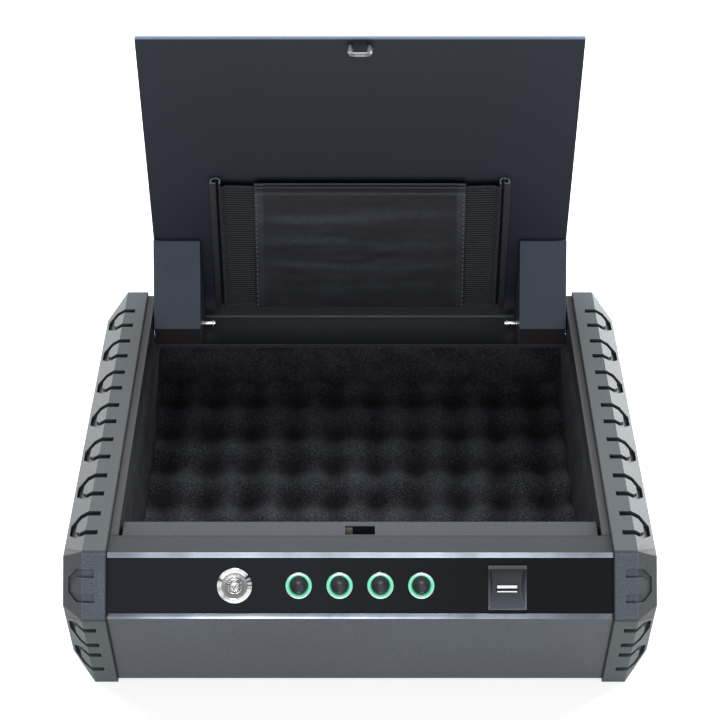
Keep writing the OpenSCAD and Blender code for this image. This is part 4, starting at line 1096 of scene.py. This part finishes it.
    def elastic_band(self, side, pitch):
        """Ribbed band that runs over the inner lip of the rail into its slit"""
        mesh = bmesh.new()
        tall = self.TALL - 2 * self.SHORT
        rows = int(tall / pitch) * 8
        bmesh.ops.create_grid(mesh, x_segments=30, y_segments=rows, size=0.5)
        painted_rib_light = mesh.verts.layers.float.new("rib")
        for vert in mesh.verts:
            u, v = vert.co.x + 0.5, vert.co.y + 0.5
            s = self.FOOT + self.SHORT + v * tall + 1.4 * (1 - u) ** 1.5 * (0.5 - v)
            inner, lip = self.pouch_edge(s) + 0.2, self.rail_edge(s)
            x = inner + u * (lip + 1.5 - inner)
            rib = math.cos(2 * math.pi * v * tall / pitch)
            t = 7.0 + 2.75 * ease(x, lip - 3.4, lip - 0.3) + 0.25 * max(rib, -0.5)
            if u > 0.99:
                t -= 1.6
            # painted light on the crests of the ribs, lighter at the ends of the band
            rim = 1.0 if min(v, 1 - v) * tall < 0.7 else 0.0
            vert[painted_rib_light] = max(0.5 + 0.5 * rib, rim)
            vert.co = Vector((side * x, s, t)) * MM
        bmesh.ops.solidify(mesh, geom=mesh.faces[:], thickness=0.9 * MM)
        mesh.transform(LID)
        bmesh.ops.recalc_face_normals(mesh, faces=mesh.faces)
        smooth(mesh)
        return mesh

    def rail_metal(self, base):
        """Dark metal with painted light on its cut end at the top"""
        finish = Finish("rail_metal", base, 0.4, 0.4)
        lines = finish.noise(500)
        colour = finish.tones(lines, 0.85, 1.2)
        # painted light on the end face, which turns up
        end = finish.spread(finish.facing()[2], 0, 1, 0.90, 0.97)
        finish.relief(finish.tint(colour, end, (0.85, 0.92, 0.95)), 1.2 * MM, 0.5, 0.5 * MM, 2.0)
        finish.rough(lines, 0.34, 0.46)
        return finish.material

    def webbing(self, base):
        """Coarse yarn, with painted light on the ribs and painted shade between them, lighter at
        the ends of the band
        """
        finish = Finish("elastic_webbing", base, 0.8, gleam=0.1)
        yarn = finish.noise(700, 2, 0.6, finish.stretched((3, 1, 1)))
        finish.tones(finish.maths("ADD", yarn, finish.tag("rib")), 0.15, 3.1, 0.45, 1.55)
        finish.bump(yarn, 0.15 * MM, 0.8)
        return finish.material

    def satin(self, base):
        """Fine weave, lighter and bluer under its painted highlights, with painted shade in its
        gaps
        """
        finish = Finish("satin_cloth", base, 0.55, gleam=0.2)
        finish.set(Sheen_Weight=0.2, Sheen_Roughness=0.3)
        cloud = finish.noise(26, 4, 0.6)
        cloth_shading = finish.times(finish.tag("painted_shading"), finish.noise(240, 3, 0.7))
        colour = finish.tones(finish.maths("ADD", cloud, cloth_shading), 0.72, 2.4, 0.3, 1.1)
        # painted highlights tinted blue
        blue = finish.spread(cloth_shading, 0, 0.8, 0.08, 0.6)
        finish.relief(finish.tint(colour, blue, (0.056, 0.060, 0.078)), 2 * MM, 0.3)
        finish.rough(cloud, 0.45, 0.66)
        weave = finish.noise(1800, 2, 0.6, finish.stretched((1, 2.2, 2.2)))
        finish.bump(weave, 0.06 * MM, 0.7)
        return finish.material


OPERATORS = (
    SAFE_OT_stage, SAFE_OT_steelwork, SAFE_OT_bumpers, SAFE_OT_controls, SAFE_OT_lock,
    SAFE_OT_buttons, SAFE_OT_latch_and_hinge, SAFE_OT_electronics, SAFE_OT_foam_bed,
    SAFE_OT_liners, SAFE_OT_pocket,
)


class SAFE_PT_panel(bpy.types.Panel):
    """Shows the colours, sizes and stage, and a button for each step"""

    bl_label = "Furniture Safe"
    bl_idname = "SAFE_PT_panel"
    bl_space_type = "VIEW_3D"
    bl_region_type = "UI"
    bl_category = "Safe"

    def draw(self, context):
        for group in (context.scene.safe_colours, context.scene.safe_sizes,
                      context.scene.safe_stage):
            box = self.layout.box()
            for name in group.__annotations__:
                box.prop(group, name)
        for operator in OPERATORS:
            self.layout.operator(operator.bl_idname)


CLASSES = (SafeColours, SafeSizes, SafeStage) + OPERATORS + (SAFE_PT_panel,)


def register():
    for item in CLASSES:
        bpy.utils.register_class(item)
    bpy.types.Scene.safe_colours = PointerProperty(type=SafeColours)
    bpy.types.Scene.safe_sizes = PointerProperty(type=SafeSizes)
    bpy.types.Scene.safe_stage = PointerProperty(type=SafeStage)


def unregister():
    for name in ("safe_colours", "safe_sizes", "safe_stage"):
        delattr(bpy.types.Scene, name)
    for item in reversed(CLASSES):
        bpy.utils.unregister_class(item)


def main():
    register()
    for operator in OPERATORS:
        group, name = operator.bl_idname.split(".")
        getattr(getattr(bpy.ops, group), name)()


if __name__ == "__main__":
    main()
